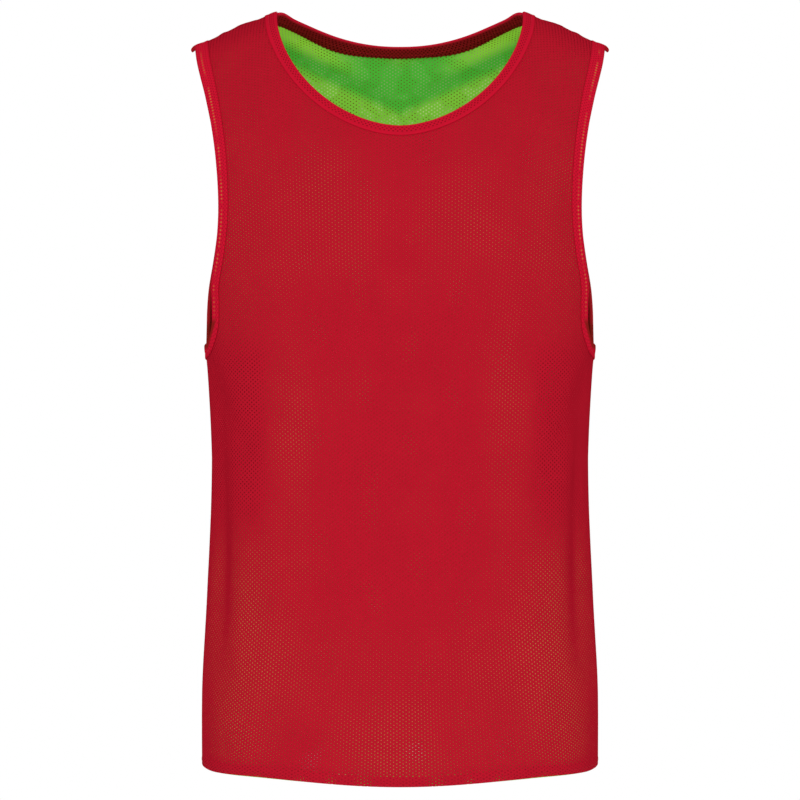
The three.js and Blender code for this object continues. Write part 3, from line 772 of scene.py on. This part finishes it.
# Patches of painted light, where light through the shell's holes reaches the lining: aside,
# height, half width, half height, how strong
PAINTED_LIGHT_PLACES = (
    (0.16, -0.56, 0.045, 0.08, 1.1),
    (0.0, -0.7, 0.05, 0.06, 0.65),
    (0.08, -0.6, 0.09, 0.035, 0.2),
    (0.17, -0.66, 0.045, 0.08, 0.9),
    (0.15, -0.22, 0.035, 0.11, 0.35),
    (0.06, -0.2, 0.05, 0.05, 0.3),
    (0.095, -0.4, 0.018, 0.09, 0.3),
)
# Patches of painted light all over, and the least share and the spread of all painted light, with
# their noises
PATCHES, PATCH_SHARE, PATCH_NOISE = (0.45, 0.65), 0.13, 13.0
PAINTED_LIGHT_LEAST, PAINTED_LIGHT_SPREAD, PAINTED_LIGHT_NOISE = 0.55, 0.9, 24.0
# Painted shade under the arms: outwards, down from its top and up from its bottom
UNDERARM_SHADE_ASIDE, UNDERARM_SHADE_TOP, UNDERARM_SHADE_BOTTOM = (0.112, 0.135), (-0.3, -0.34), (-0.52, -0.44)

# Right side of the lining: a yellow painted highlight below a sag and above it off the centre,
# and painted shade in its own green along the sag, whose edge has a height at the centre and a
# rise aside
LINING_HIGHLIGHT = (0.37, 0.72, 0.06)
SAG_HEIGHT, SAG_RISE = -0.074, 0.427
ABOVE_SAG, BELOW_SAG, HIGH_ABOVE_SAG = (0.002, 0.016), (-0.002, -0.014), (0.028, 0.05)
OFF_CENTRE, AT_CENTRE = (0.03, 0.1), (0.1, 0.03)
# Shares of the painted highlight below the sag, above it and high at its centre, and how much
# lighter it is above
HIGHLIGHT_BELOW, HIGHLIGHT_ABOVE, HIGHLIGHT_CENTRE, HIGHLIGHT_LIGHTER = 0.6, 0.9, 0.4, 1.35
# Pits round its holes, painted with the shade inside them and, in patches, with light showing
# through: radius, soft edge, share, dark and light colour, and their light patches
PIT_RADIUS, PIT_EDGE, PIT_SHARE = 0.62, (0.18, -0.18), 0.85
PIT_SHADE, PIT_LIGHT = (0.2, 0.07, 0.012), (0.95, 1.0, 0.55)
LIGHT_PITS, LIGHT_PIT_NOISE = (0.42, 0.57), 55.0
# Shares of light pits: all over, and more below the sag and high at its centre
LIGHT_ALL, LIGHT_BELOW, LIGHT_CENTRE = 0.5, 0.5, 0.3

# Tapes, with columns counted from the rim, and less than 0 on the wearer's side. For each: first
# and last column with holes, the column where the inside begins, depth and painted shade of the
# holes, and strength of the painted light in pale dots by its edge. Then how softly those three
# columns begin or end
TAPES = {"neck": (0.5, 3.4, -1.8, 0.65, 0.0), "armhole": (-0.3, 5.2, -0.4, 0.45, 0.6)}
FIRST_SOFT, LAST_SOFT, INSIDE_SOFT = 0.12, 0.2, 0.2
ARMHOLE_TAPE_BRIGHTNESS = 1.08
# Soft edge and painted shade of the tapes' holes, and their ribs with share and darkness of shade
TAPE_HOLE_EDGE, TAPE_HOLE_SHADE = (0.2, -0.2), 0.25
TAPE_RIBS, TAPE_RIB_SHADE, TAPE_RIB_DARK = (2, 3), 0.05, 0.55
# Wearer's side of the tapes: colour in the bib's shade, columns where the holes begin, where the
# shade deepens and where it fades again, its least share, and how much that changes
TAPE_INSIDE = (0.19, 0.011, 0.007)
INNER_HOLES, INNER_DEEPENS, INNER_FADES = (-2.4, -2.6), (-1.5, -7.0), (-12.0, -14.0)
INNER_LEAST, INNER_CHANGE = 0.62, 0.3
# Pale dots of painted light beside the armhole, where light comes through its holes: columns
# from and to, heights from and to, patches and colour
DOTS_FROM, DOTS_TO, DOTS_BELOW, DOTS_ABOVE = (1.4, 1.6), (2.6, 2.4), (-0.03, -0.05), (-0.3, -0.27)
DOT_PATCHES, DOT_NOISE, LIT_DOT_COLOUR = (0.35, 0.6), 90.0, (0.5, 0.3, 0.05)
# Shade of the tape's fold under the arm: distance aside at the origin, how much further out that
# lies for each metre back and nearer for each metre up, its edge, its heights and its share
FOLD_ASIDE, FOLD_BACK, FOLD_UP, FOLD_EDGE = 0.0869, 0.082, 0.3, (-0.0005, 0.0005)
FOLD_TOP, FOLD_BOTTOM, FOLD_SHARE = (-0.29, -0.297), (-0.321, -0.317), 0.85
TAPE_RELIEF, TAPE_BUMP = 0.0003, 0.7

# Sockets of the Mix node: share, first, second and result, for colours and for numbers
COLOUR_SOCKETS, NUMBER_SOCKETS = (0, 6, 7, 2), (0, 2, 3, 0)


def arithmetic(operation, swap=False):
    """Method of Value that adds one Math node."""
    return lambda self, *others: self.math(operation, *others, swap=swap)


class Value:
    """A shader value, whose arithmetic adds Math nodes."""

    def __init__(self, finish, socket):
        self.finish, self.socket = finish, socket

    def math(self, operation, *others, swap=False):
        terms = [self, *others][:: -1 if swap else 1]
        node = self.finish.add("ShaderNodeMath", {"operation": operation}, dict(enumerate(terms)))
        return Value(self.finish, node.outputs[0])

    __add__ = __radd__ = arithmetic("ADD")
    __sub__, __rsub__ = arithmetic("SUBTRACT"), arithmetic("SUBTRACT", swap=True)
    __mul__ = __rmul__ = arithmetic("MULTIPLY")
    __truediv__, __pow__ = arithmetic("DIVIDE"), arithmetic("POWER")
    __abs__, whole, fraction = arithmetic("ABSOLUTE"), arithmetic("FLOOR"), arithmetic("FRACT")

    def wave(self, cycles):
        """Cosine of so many turns for each unit of the value."""
        return (self * (2 * math.pi * cycles)).math("COSINE")

    def step(self, low, high):
        """0 below low and 1 above high, smooth in between; the other way round if low > high."""
        settings = {"interpolation_type": "SMOOTHSTEP"}
        inputs = {"Value": self, "From Min": low, "From Max": high}
        node = self.finish.add("ShaderNodeMapRange", settings, inputs)
        return Value(self.finish, node.outputs["Result"])


class Nodes:
    """A node tree in the making."""

    def __init__(self, tree):
        self.tree = tree

    def set(self, node, inputs):
        for key, value in inputs.items():
            socket = node.inputs[key.replace("_", " ") if isinstance(key, str) else key]
            if isinstance(value, Value):
                value = value.socket
            if isinstance(value, bpy.types.NodeSocket):
                self.tree.links.new(value, socket)
            else:
                socket.default_value = value

    def add(self, kind, settings=None, inputs=None):
        """Adds a node of a type, with its settings first and then its sockets."""
        node = self.tree.nodes.new(kind)
        for key, value in (settings or {}).items():
            setattr(node, key, value)
        self.set(node, inputs or {})
        return node


class Finish(Nodes):
    """A material in the making."""

    def __init__(self, name, roughness, gloss=0.0):
        self.material = bpy.data.materials.new(name)
        self.material.use_nodes = True
        super().__init__(self.material.node_tree)
        self.shader = self.tree.nodes["Principled BSDF"]
        self.set(self.shader, {"Roughness": roughness, "Specular_IOR_Level": gloss})

    def made(self, **inputs):
        """The material, with these sockets of its shader linked."""
        self.set(self.shader, inputs)
        return self.material

    def axes(self, place):
        """The three parts of a vector."""
        split = self.add("ShaderNodeSeparateXYZ", None, {"Vector": place})
        return [Value(self, split.outputs[axis]) for axis in "XYZ"]

    def cloth_place(self):
        """Columns and rows of holes at this place on the cloth."""
        return self.axes(self.add("ShaderNodeUVMap", {"uv_map": "cloth"}).outputs["UV"])[:2]

    def object_place(self):
        """Place in the object's own space, in metres."""
        return self.axes(self.add("ShaderNodeTexCoord").outputs["Object"])

    def noise(self, scale, detail=2.0):
        """Soft noise over the object's own space, in features per metre."""
        place = self.add("ShaderNodeTexCoord").outputs["Object"]
        inputs = {"Vector": place, "Scale": scale, "Detail": detail}
        return Value(self, self.add("ShaderNodeTexNoise", None, inputs).outputs["Fac"])

    def mix(self, share, first, second, blend="MIX"):
        """Colour between two colours."""
        colours = [c if isinstance(c, bpy.types.NodeSocket) else (*c, 1.0) for c in (first, second)]
        settings = {"data_type": "RGBA", "blend_type": blend}
        inputs = dict(zip(COLOUR_SOCKETS, (share, *colours)))
        return self.add("ShaderNodeMix", settings, inputs).outputs[COLOUR_SOCKETS[-1]]

    def tones(self, share, colour, dark=DYE_DARK, light=DYE_LIGHT):
        """Colour between a dark and a light tone of itself."""
        return self.mix(share, toned(colour, dark), toned(colour, light))

    def bump(self, height, distance, strength=1.0):
        inputs = {"Height": height, "Distance": distance, "Strength": strength}
        return self.add("ShaderNodeBump", None, inputs).outputs["Normal"]


def toned(colour, share):
    """Colour made darker, or lighter where the share is over 1."""
    return tuple(part * share for part in colour)


def hole_distance(column, row, column_pitch, row_pitch):
    """Distance in millimetres from the middle of the nearest hole of the staggered pattern."""
    nearest = (column + 0.5).whole()
    aside = (column - nearest) * column_pitch
    shifted = row + (nearest * 0.5).fraction()
    off = (shifted - (shifted + 0.5).whole()) * row_pitch
    return (aside * aside + off * off) ** 0.5


def ribbed(column, row, counts):
    """Ribs that cross each other, so many in a column and in a row of holes."""
    return column.wave(counts[0]) * row.wave(counts[1])


def mesh_cloth(name, colour, hole_radius, tone_of=None):
    """Open knitted mesh: staggered holes, ribs between them and uneven colour."""
    cloth = Finish(name, CLOTH_ROUGHNESS)
    column, row = cloth.cloth_place()
    if tone_of is not None:
        column = column + cloth.noise(COLUMN_PULL_NOISE) * CLOTH_PULL
        row = row + cloth.noise(ROW_PULL_NOISE) * CLOTH_PULL
    distance = hole_distance(column, row, PLAIN_COLUMN, PLAIN_ROW)
    radius = hole_radius / MM * (HOLE_LEAST + HOLE_SPREAD * cloth.noise(YARN_NOISE))
    beyond = distance - radius
    hole, rim = beyond.step(*HOLE_EDGE), beyond.step(*HOLE_RIM)
    ribs = ribbed(column, row, CLOTH_RIBS)
    if tone_of is None:
        tone = cloth.tones(cloth.noise(CLOTH_DYE_NOISE), colour)
    else:
        tone = tone_of(cloth, colour, distance)
    shade = cloth.mix(rim * RIM_SHADE + ribs * RIB_SHADE + RIB_SHADE, WHITE, GREY)
    tone = cloth.mix(1.0, tone, shade, "MULTIPLY")
    height = ribs * RIB_RELIEF - rim * RIM_RELIEF + cloth.noise(FIBRE_NOISE) * FIBRE_RELIEF
    normal = cloth.bump(height, CLOTH_RELIEF, CLOTH_BUMP)
    return cloth.made(Base_Color=tone, Alpha=1 - hole, Normal=normal)


def against_shell(cloth, colour, _):
    """Wrong side of the lining: painted light through the shell's holes, painted shade under the arms.
    """
    x, _, z = cloth.object_place()
    aside = abs(x)
    # Painted light, in listed places and in patches, where light through the shell's holes reaches it
    painted_light = cloth.noise(PATCH_NOISE, 1.0).step(*PATCHES) * PATCH_SHARE
    for place, height, half_width, half_height, share in PAINTED_LIGHT_PLACES:
        across, up = (aside - place) / half_width, (z - height) / half_height
        painted_light = painted_light + ((across * across + up * up) * -1.0).math("EXPONENT") * share
    # Painted shade under the arms
    painted_shade = aside.step(*UNDERARM_SHADE_ASIDE) * z.step(*UNDERARM_SHADE_TOP) * z.step(*UNDERARM_SHADE_BOTTOM)
    painted_light = painted_light * (PAINTED_LIGHT_LEAST + PAINTED_LIGHT_SPREAD * cloth.noise(PAINTED_LIGHT_NOISE)) * (1 - painted_shade)
    return cloth.mix(painted_shade, cloth.mix(painted_light, LINING_PAINTED_RED_LIGHT, colour), LINING_PAINTED_SHADE)


def inside_lining(cloth, colour, distance):
    """Right side of the lining: yellow painted highlight beside its sag, green painted shade in it."""
    x, _, z = cloth.object_place()
    aside = abs(x)
    over = z - SAG_HEIGHT - aside * SAG_RISE
    above, below = over.step(*ABOVE_SAG), over.step(*BELOW_SAG)
    centre = over.step(*HIGH_ABOVE_SAG) * aside.step(*AT_CENTRE)
    # Painted highlight in yellow beside the sag, painted shade in green along it
    tone = cloth.mix(below * HIGHLIGHT_BELOW, toned(colour, DYE_DARK), LINING_HIGHLIGHT)
    highlight = above * aside.step(*OFF_CENTRE) * HIGHLIGHT_ABOVE
    tone = cloth.mix(highlight, tone, toned(LINING_HIGHLIGHT, HIGHLIGHT_LIGHTER))
    tone = cloth.mix(centre * HIGHLIGHT_CENTRE, tone, LINING_HIGHLIGHT)
    share = below * LIGHT_BELOW + centre * LIGHT_CENTRE + LIGHT_ALL
    light = cloth.noise(LIGHT_PIT_NOISE, 1.0).step(*LIGHT_PITS) * share
    # Painted shade in the pits round the holes, and painted light showing through some
    pit = (distance - PIT_RADIUS).step(*PIT_EDGE)
    return cloth.mix(pit * PIT_SHARE, tone, cloth.mix(light, PIT_SHADE, PIT_LIGHT))


def binding_tape(edge, colour):
    """Folded mesh tape: closed holes in painted shade, a smooth rim, and a darker inner leg."""
    first, last, inside, depth, pale = TAPES[edge]
    tape = Finish(f"{edge}_tape_mesh", TAPE_ROUGHNESS)
    column, row = tape.cloth_place()
    distance = hole_distance(column, row, TAPE_HOLE_COLUMN, TAPE_HOLE_ROW)
    outer = column.step(first, first + FIRST_SOFT) * column.step(last + LAST_SOFT, last)
    inner = column.step(inside, inside - INSIDE_SOFT)
    spot = (distance - TAPE_HOLE_RADIUS).step(*TAPE_HOLE_EDGE)
    hole = spot * (outer * depth + column.step(*INNER_HOLES))
    ribs = ribbed(column, row, TAPE_RIBS)
    dye = tape.tones(tape.noise(TAPE_DYE_NOISE), colour)
    tone = tape.mix(ribs * TAPE_RIB_SHADE + TAPE_RIB_SHADE, dye, toned(colour, TAPE_RIB_DARK))
    deeper, faded = column.step(*INNER_DEEPENS), column.step(*INNER_FADES)
    shade = deeper * INNER_CHANGE + INNER_LEAST - faded * INNER_CHANGE
    tone = tape.mix(inner * shade, tone, TAPE_INSIDE)
    # Painted shade in the closed holes
    tone = tape.mix(hole, tone, toned(TAPE_INSIDE, TAPE_HOLE_SHADE))
    if pale:
        x, y, z = tape.object_place()
        # Painted light: pale dots where light comes through the holes beside the armhole's edge
        dots = column.step(*DOTS_FROM) * column.step(*DOTS_TO)
        dots = dots * tape.noise(DOT_NOISE).step(*DOT_PATCHES)
        dots = dots * z.step(*DOTS_BELOW) * z.step(*DOTS_ABOVE)
        tone = tape.mix(spot * dots * pale, tone, LIT_DOT_COLOUR)
        folded = (abs(x) - y * FOLD_BACK + z * FOLD_UP - FOLD_ASIDE).step(*FOLD_EDGE)
        under_arm = folded * z.step(*FOLD_TOP) * z.step(*FOLD_BOTTOM)
        tone = tape.mix(under_arm * FOLD_SHARE, tone, TAPE_INSIDE)
    height = ribs * FIBRE_RELIEF - hole + tape.noise(FIBRE_NOISE) * FIBRE_RELIEF
    return tape.made(Base_Color=tone, Normal=tape.bump(height, TAPE_RELIEF, TAPE_BUMP))


def seam_cloth(name, colour):
    """Cloth gathered into a seam, with painted shade in its hollows."""
    seam = Finish(name, CLOTH_ROUGHNESS)
    hollows = seam.noise(GATHER_NOISE, 3.0)
    # Painted shade in the hollows of the gathered cloth
    tone = seam.tones(hollows.step(*SHADED_HOLLOWS), colour, *HOLLOW_SHADE_TONES)
    height = hollows + seam.noise(CRINKLE_NOISE) * FIBRE_RELIEF
    return seam.made(Base_Color=tone, Normal=seam.bump(height, TAPE_RELIEF, CLOTH_BUMP))


def plain_thread(name, colour):
    """Spun sewing thread, a little glossier than the cloth."""
    thread = Finish(name, THREAD_ROUGHNESS, THREAD_GLOSS)
    twist = thread.noise(TWIST_NOISE)
    tone = thread.tones(twist, colour, *THREAD_TONES)
    return thread.made(Base_Color=tone, Normal=thread.bump(twist, THREAD_RELIEF))


class BibLooks(bpy.types.PropertyGroup):
    """Sizes and colours of the cloth that a user would change."""

    hole_radius: bpy.props.FloatProperty(
        name="Shell holes", description="Radius of the holes in the outer mesh",
        default=0.0006, unit="LENGTH")
    lining_hole_radius: bpy.props.FloatProperty(
        name="Lining holes", description="Radius of the holes in the inner mesh",
        default=0.00022, unit="LENGTH")
    shell_colour: bpy.props.FloatVectorProperty(
        name="Shell", description="Colour of the outer mesh", subtype="COLOR",
        default=(0.42, 0.0075, 0.0205))
    lining_colour: bpy.props.FloatVectorProperty(
        name="Lining", description="Colour of the inner mesh", subtype="COLOR",
        default=(0.1, 0.6, 0.055))
    binding_colour: bpy.props.FloatVectorProperty(
        name="Binding", description="Colour of the neck and armhole bindings",
        subtype="COLOR", default=(0.5, 0.006, 0.024))


class BibStudio(bpy.types.PropertyGroup):
    """Camera and light of the studio."""

    camera_distance: bpy.props.FloatProperty(
        name="Camera distance", description="From the camera to the shoulder plane",
        default=2.2, unit="LENGTH")
    key_power: bpy.props.FloatProperty(
        name="Key light", description="Power of the large frontal light",
        default=25.0, unit="POWER")
    low_power: bpy.props.FloatProperty(
        name="Low lights", description="Power of each of the two low lights at the sides",
        default=3.0, unit="POWER")
    surround: bpy.props.FloatProperty(
        name="Surround", description="Strength of the light from all round", default=0.8)


def looks():
    return bpy.context.scene.bib_looks


def colour_of(layer):
    """Colour that the user sets for the shell, the lining or the bindings."""
    return tuple(getattr(looks(), f"{layer}_colour"))


def hem_stitches(layer, side):
    """Row of stitches that holds the turned hem of a panel."""
    net, _ = NETS[side]
    girth = net[-1, 0, 0]
    across = np.linspace(-girth, girth, round(girth))
    down = hem_shift(layer, across / girth, girth) - HEM_STITCH_UP
    point, normal = FORM.place(across, net[0, 0, 1] + side * down)
    point = point + normal * LAYERS[layer]["shows"]
    points, faces = stitch_row(point, normal if layer == "shell" else -normal)
    name = f"{layer}_{SIDE_NAMES[side]}_hem_stitches"
    return add_piece(name, points, faces, plain_thread(name, colour_of(layer)))


def tape_stitches(edge, widths, side_out):
    """Row of stitches along a tape, outside or on the wearer's side."""
    line, inward = edge
    where = line + inward * (TAPE_STITCH_WIDTH * widths / NECK_BAND)[:, None]
    point, normal = FORM.place(*where.T)
    far = TAPE_STITCH_OUTSIDE if side_out else TAPE_STITCH_INSIDE
    return stitch_row(point + normal * far, normal if side_out else -normal, closed=True)


def add_tape(name, node, edge, widths, inner_widths, hand, tape, thread):
    """Binding tape round one edge, with its stitches on both sides; armhole tapes have ears."""
    has_ear = node != "neck_binding"
    points, faces, places, length = swept_tape(edge, widths, inner_widths, has_ear)
    sewing, loops = joined([tape_stitches(edge, widths, True), tape_stitches(edge, widths, False)])
    if hand == RIGHT:
        points, faces, places = mirrored(points, faces, places)
        sewing, loops = mirrored(sewing, loops)
    piece = add_piece(name, points, faces, tape, [node], places)
    stitches = add_piece(f"{name}_stitches", sewing, loops, thread)


def add_panels(layer, cloth, wrong_side):
    """Front and back panel of a layer, whose hidden face has a finish of its own."""
    node_layer = "outer" if layer == "shell" else "inner"
    for side in (FRONT, BACK):
        points, faces, places, walls = panel_mesh(layer, side)
        name = f"{layer}_{SIDE_NAMES[side]}"
        node = f"{node_layer}_{SIDE_NAMES[side]}"
        piece = add_piece(name, points, faces, cloth, [node], places, (wrong_side, walls))
        sewing = hem_stitches(layer, side)


class BIB_OT_shell(bpy.types.Operator):
    """Front and back panels of the outer mesh shell, with their turned hems"""

    bl_idname = "bib.shell"
    bl_label = "Shell Panels"

    def execute(self, context):
        cloth = mesh_cloth("shell_mesh", colour_of("shell"), looks().hole_radius)
        add_panels("shell", cloth, cloth)
        return {"FINISHED"}


class BIB_OT_lining(bpy.types.Operator):
    """Front and back panels of the inner mesh lining, with their turned hems"""

    bl_idname = "bib.lining"
    bl_label = "Lining Panels"

    def execute(self, context):
        hole = looks().lining_hole_radius
        cloth = mesh_cloth("lining_mesh", colour_of("lining"), hole, inside_lining)
        # Its wrong side is painted with the light and shade that reach it through the shell's holes
        wrong_side = mesh_cloth("lining_wrong_side", LINING_PAINTED_LIGHT, hole, against_shell)
        add_panels("lining", cloth, wrong_side)
        return {"FINISHED"}


class BIB_OT_neck_binding(bpy.types.Operator):
    """Tape folded round the neckline, and its stitches"""

    bl_idname = "bib.neck_binding"
    bl_label = "Neck Binding"

    def execute(self, context):
        colour = colour_of("binding")
        tape, thread = binding_tape("neck", colour), plain_thread("neck_thread", colour)
        edge = neck_edge()
        widths, inner_widths = neck_tape_width(edge[0]), inner_leg_width(edge[0])
        add_tape("neck_tape", "neck_binding", edge, widths, inner_widths, LEFT, tape, thread)
        return {"FINISHED"}


class BIB_OT_armhole_bindings(bpy.types.Operator):
    """Tapes folded round both armholes, and their stitches"""

    bl_idname = "bib.armhole_bindings"
    bl_label = "Armhole Bindings"

    def execute(self, context):
        colour = toned(colour_of("binding"), ARMHOLE_TAPE_BRIGHTNESS)
        tape, thread = binding_tape("armhole", colour), plain_thread("armhole_thread", colour)
        edge = armhole_edge()
        widths = np.full(len(edge[0]), ARMHOLE_TAPE)
        for hand in (LEFT, RIGHT):
            name, node = (f"armhole_{kind}_{HAND_NAMES[hand]}" for kind in ("tape", "binding"))
            add_tape(name, node, edge, widths, widths, hand, tape, thread)
        return {"FINISHED"}


class BIB_OT_seams(bpy.types.Operator):
    """Raised shoulder and side seams of the shell, with uneven puckers"""

    bl_idname = "bib.seams"
    bl_label = "Seams"

    def execute(self, context):
        finish = seam_cloth("shell_seam", colour_of("shell"))
        for kind, (points, faces) in (("shoulder", shoulder_seam()), ("side", side_seam())):
            for hand in (LEFT, RIGHT):
                if hand == RIGHT:
                    points, faces = mirrored(points, faces)
                name = f"{kind}_seam_{HAND_NAMES[hand]}"
                add_piece(name, points, faces, finish)
        return {"FINISHED"}


class BIB_OT_stage(bpy.types.Operator):
    """Pale floor, soft studio light and the camera"""

    bl_idname = "bib.stage"
    bl_label = "Stage"

    def execute(self, context):
        add_floor()
        add_lights(context.scene)
        add_camera(context.scene)
        return {"FINISHED"}


FLOOR_HEIGHT, FLOOR_HALF = -1.3, 2.5
FLOOR_ROUGHNESS, FLOOR_GLOSS, FLOOR_NOISE = 0.8, 0.5, 3.0
FLOOR_TONES = (0.82, 0.82, 0.81), (0.86, 0.86, 0.85)
CAMERA_HEIGHT = -0.367
VIEW_WIDTH = 0.76
SENSOR = 36.0
# Area lights: name, place, where it is aimed, size, and the setting with its power
LIGHTS = (
    ("key_light", (0, -2.4, 0.6), (0, 0, CAMERA_HEIGHT), (2.4, 2.2), "key_power"),
    ("low_light_left", (1.1, -1.2, -0.85), (0, 0, -0.6), (0.8, 0.4), "low_power"),
    ("low_light_right", (-1.1, -1.2, -0.85), (0, 0, -0.6), (0.8, 0.4), "low_power"),
)


def add_floor():
    h = FLOOR_HALF
    mesh = bpy.data.meshes.new("floor")
    corners = [(-h, -h), (h, -h), (h, h), (-h, h)]
    mesh.from_pydata([(x, y, FLOOR_HEIGHT) for x, y in corners], [], [(0, 1, 2, 3)])
    paint = Finish("floor_paint", FLOOR_ROUGHNESS, FLOOR_GLOSS)
    mesh.materials.append(paint.made(Base_Color=paint.mix(paint.noise(FLOOR_NOISE), *FLOOR_TONES)))
    floor = bpy.data.objects.new("floor", mesh)
    bpy.context.scene.collection.objects.link(floor)


def add_area_light(name, place, target, size, power):
    lamp = bpy.data.lights.new(name, "AREA")
    lamp.shape, lamp.size, lamp.size_y, lamp.energy = "RECTANGLE", *size, power
    light = bpy.data.objects.new(name, lamp)
    light.location = place
    light.rotation_mode = "QUATERNION"
    toward = np.subtract(target, place)
    light.rotation_quaternion = Vector(toward).to_track_quat("-Z", "Y")
    bpy.context.scene.collection.objects.link(light)


def add_lights(scene):
    studio = scene.bib_studio
    for name, place, target, size, power in LIGHTS:
        add_area_light(name, place, target, size, getattr(studio, power))
    scene.world = bpy.data.worlds.new("studio")
    scene.world.use_nodes = True
    sky = Nodes(scene.world.node_tree)
    seen = sky.add("ShaderNodeLightPath").outputs["Is Camera Ray"]
    inputs = dict(zip(NUMBER_SOCKETS, (seen, studio.surround, 1.0)))
    strength = sky.add("ShaderNodeMix", None, inputs).outputs[NUMBER_SOCKETS[-1]]
    background = sky.tree.nodes["Background"]
    sky.set(background, {"Color": (*WHITE, 1.0), "Strength": strength})
    scene.view_settings.view_transform = "Standard"


def add_camera(scene):
    distance = scene.bib_studio.camera_distance
    lens = bpy.data.cameras.new("camera")
    lens.sensor_width = SENSOR
    lens.lens = SENSOR * distance / VIEW_WIDTH
    camera = bpy.data.objects.new("camera", lens)
    camera.location = (0, -distance, CAMERA_HEIGHT)
    camera.rotation_euler = (math.pi / 2, 0, 0)
    scene.collection.objects.link(camera)
    scene.camera = camera


class BIB_PT_sidebar(bpy.types.Panel):
    """Settings and pieces of the bib"""

    bl_idname = "BIB_PT_sidebar"
    bl_label = "Reversible Training Bib"
    bl_space_type = "VIEW_3D"
    bl_region_type = "UI"
    bl_category = "Bib"

    def draw(self, context):
        for settings in (context.scene.bib_looks, context.scene.bib_studio):
            for key in settings.__class__.__annotations__:
                self.layout.prop(settings, key)
        for operator in OPERATORS:
            self.layout.operator(operator.bl_idname)


GROUPS = (BibLooks, BibStudio)
OPERATORS = (
    BIB_OT_shell, BIB_OT_lining, BIB_OT_neck_binding, BIB_OT_armhole_bindings, BIB_OT_seams,
    BIB_OT_stage,
)


def register():
    for kind in (*GROUPS, *OPERATORS, BIB_PT_sidebar):
        bpy.utils.register_class(kind)
    bpy.types.Scene.bib_looks = bpy.props.PointerProperty(type=BibLooks)
    bpy.types.Scene.bib_studio = bpy.props.PointerProperty(type=BibStudio)


def unregister():
    del bpy.types.Scene.bib_looks, bpy.types.Scene.bib_studio
    for kind in reversed((*GROUPS, *OPERATORS, BIB_PT_sidebar)):
        bpy.utils.unregister_class(kind)


def main():
    register()
    bpy.ops.bib.stage()
    bpy.ops.bib.shell()
    bpy.ops.bib.lining()
    bpy.ops.bib.neck_binding()
    bpy.ops.bib.armhole_bindings()
    bpy.ops.bib.seams()


if __name__ == "__main__":
    main()
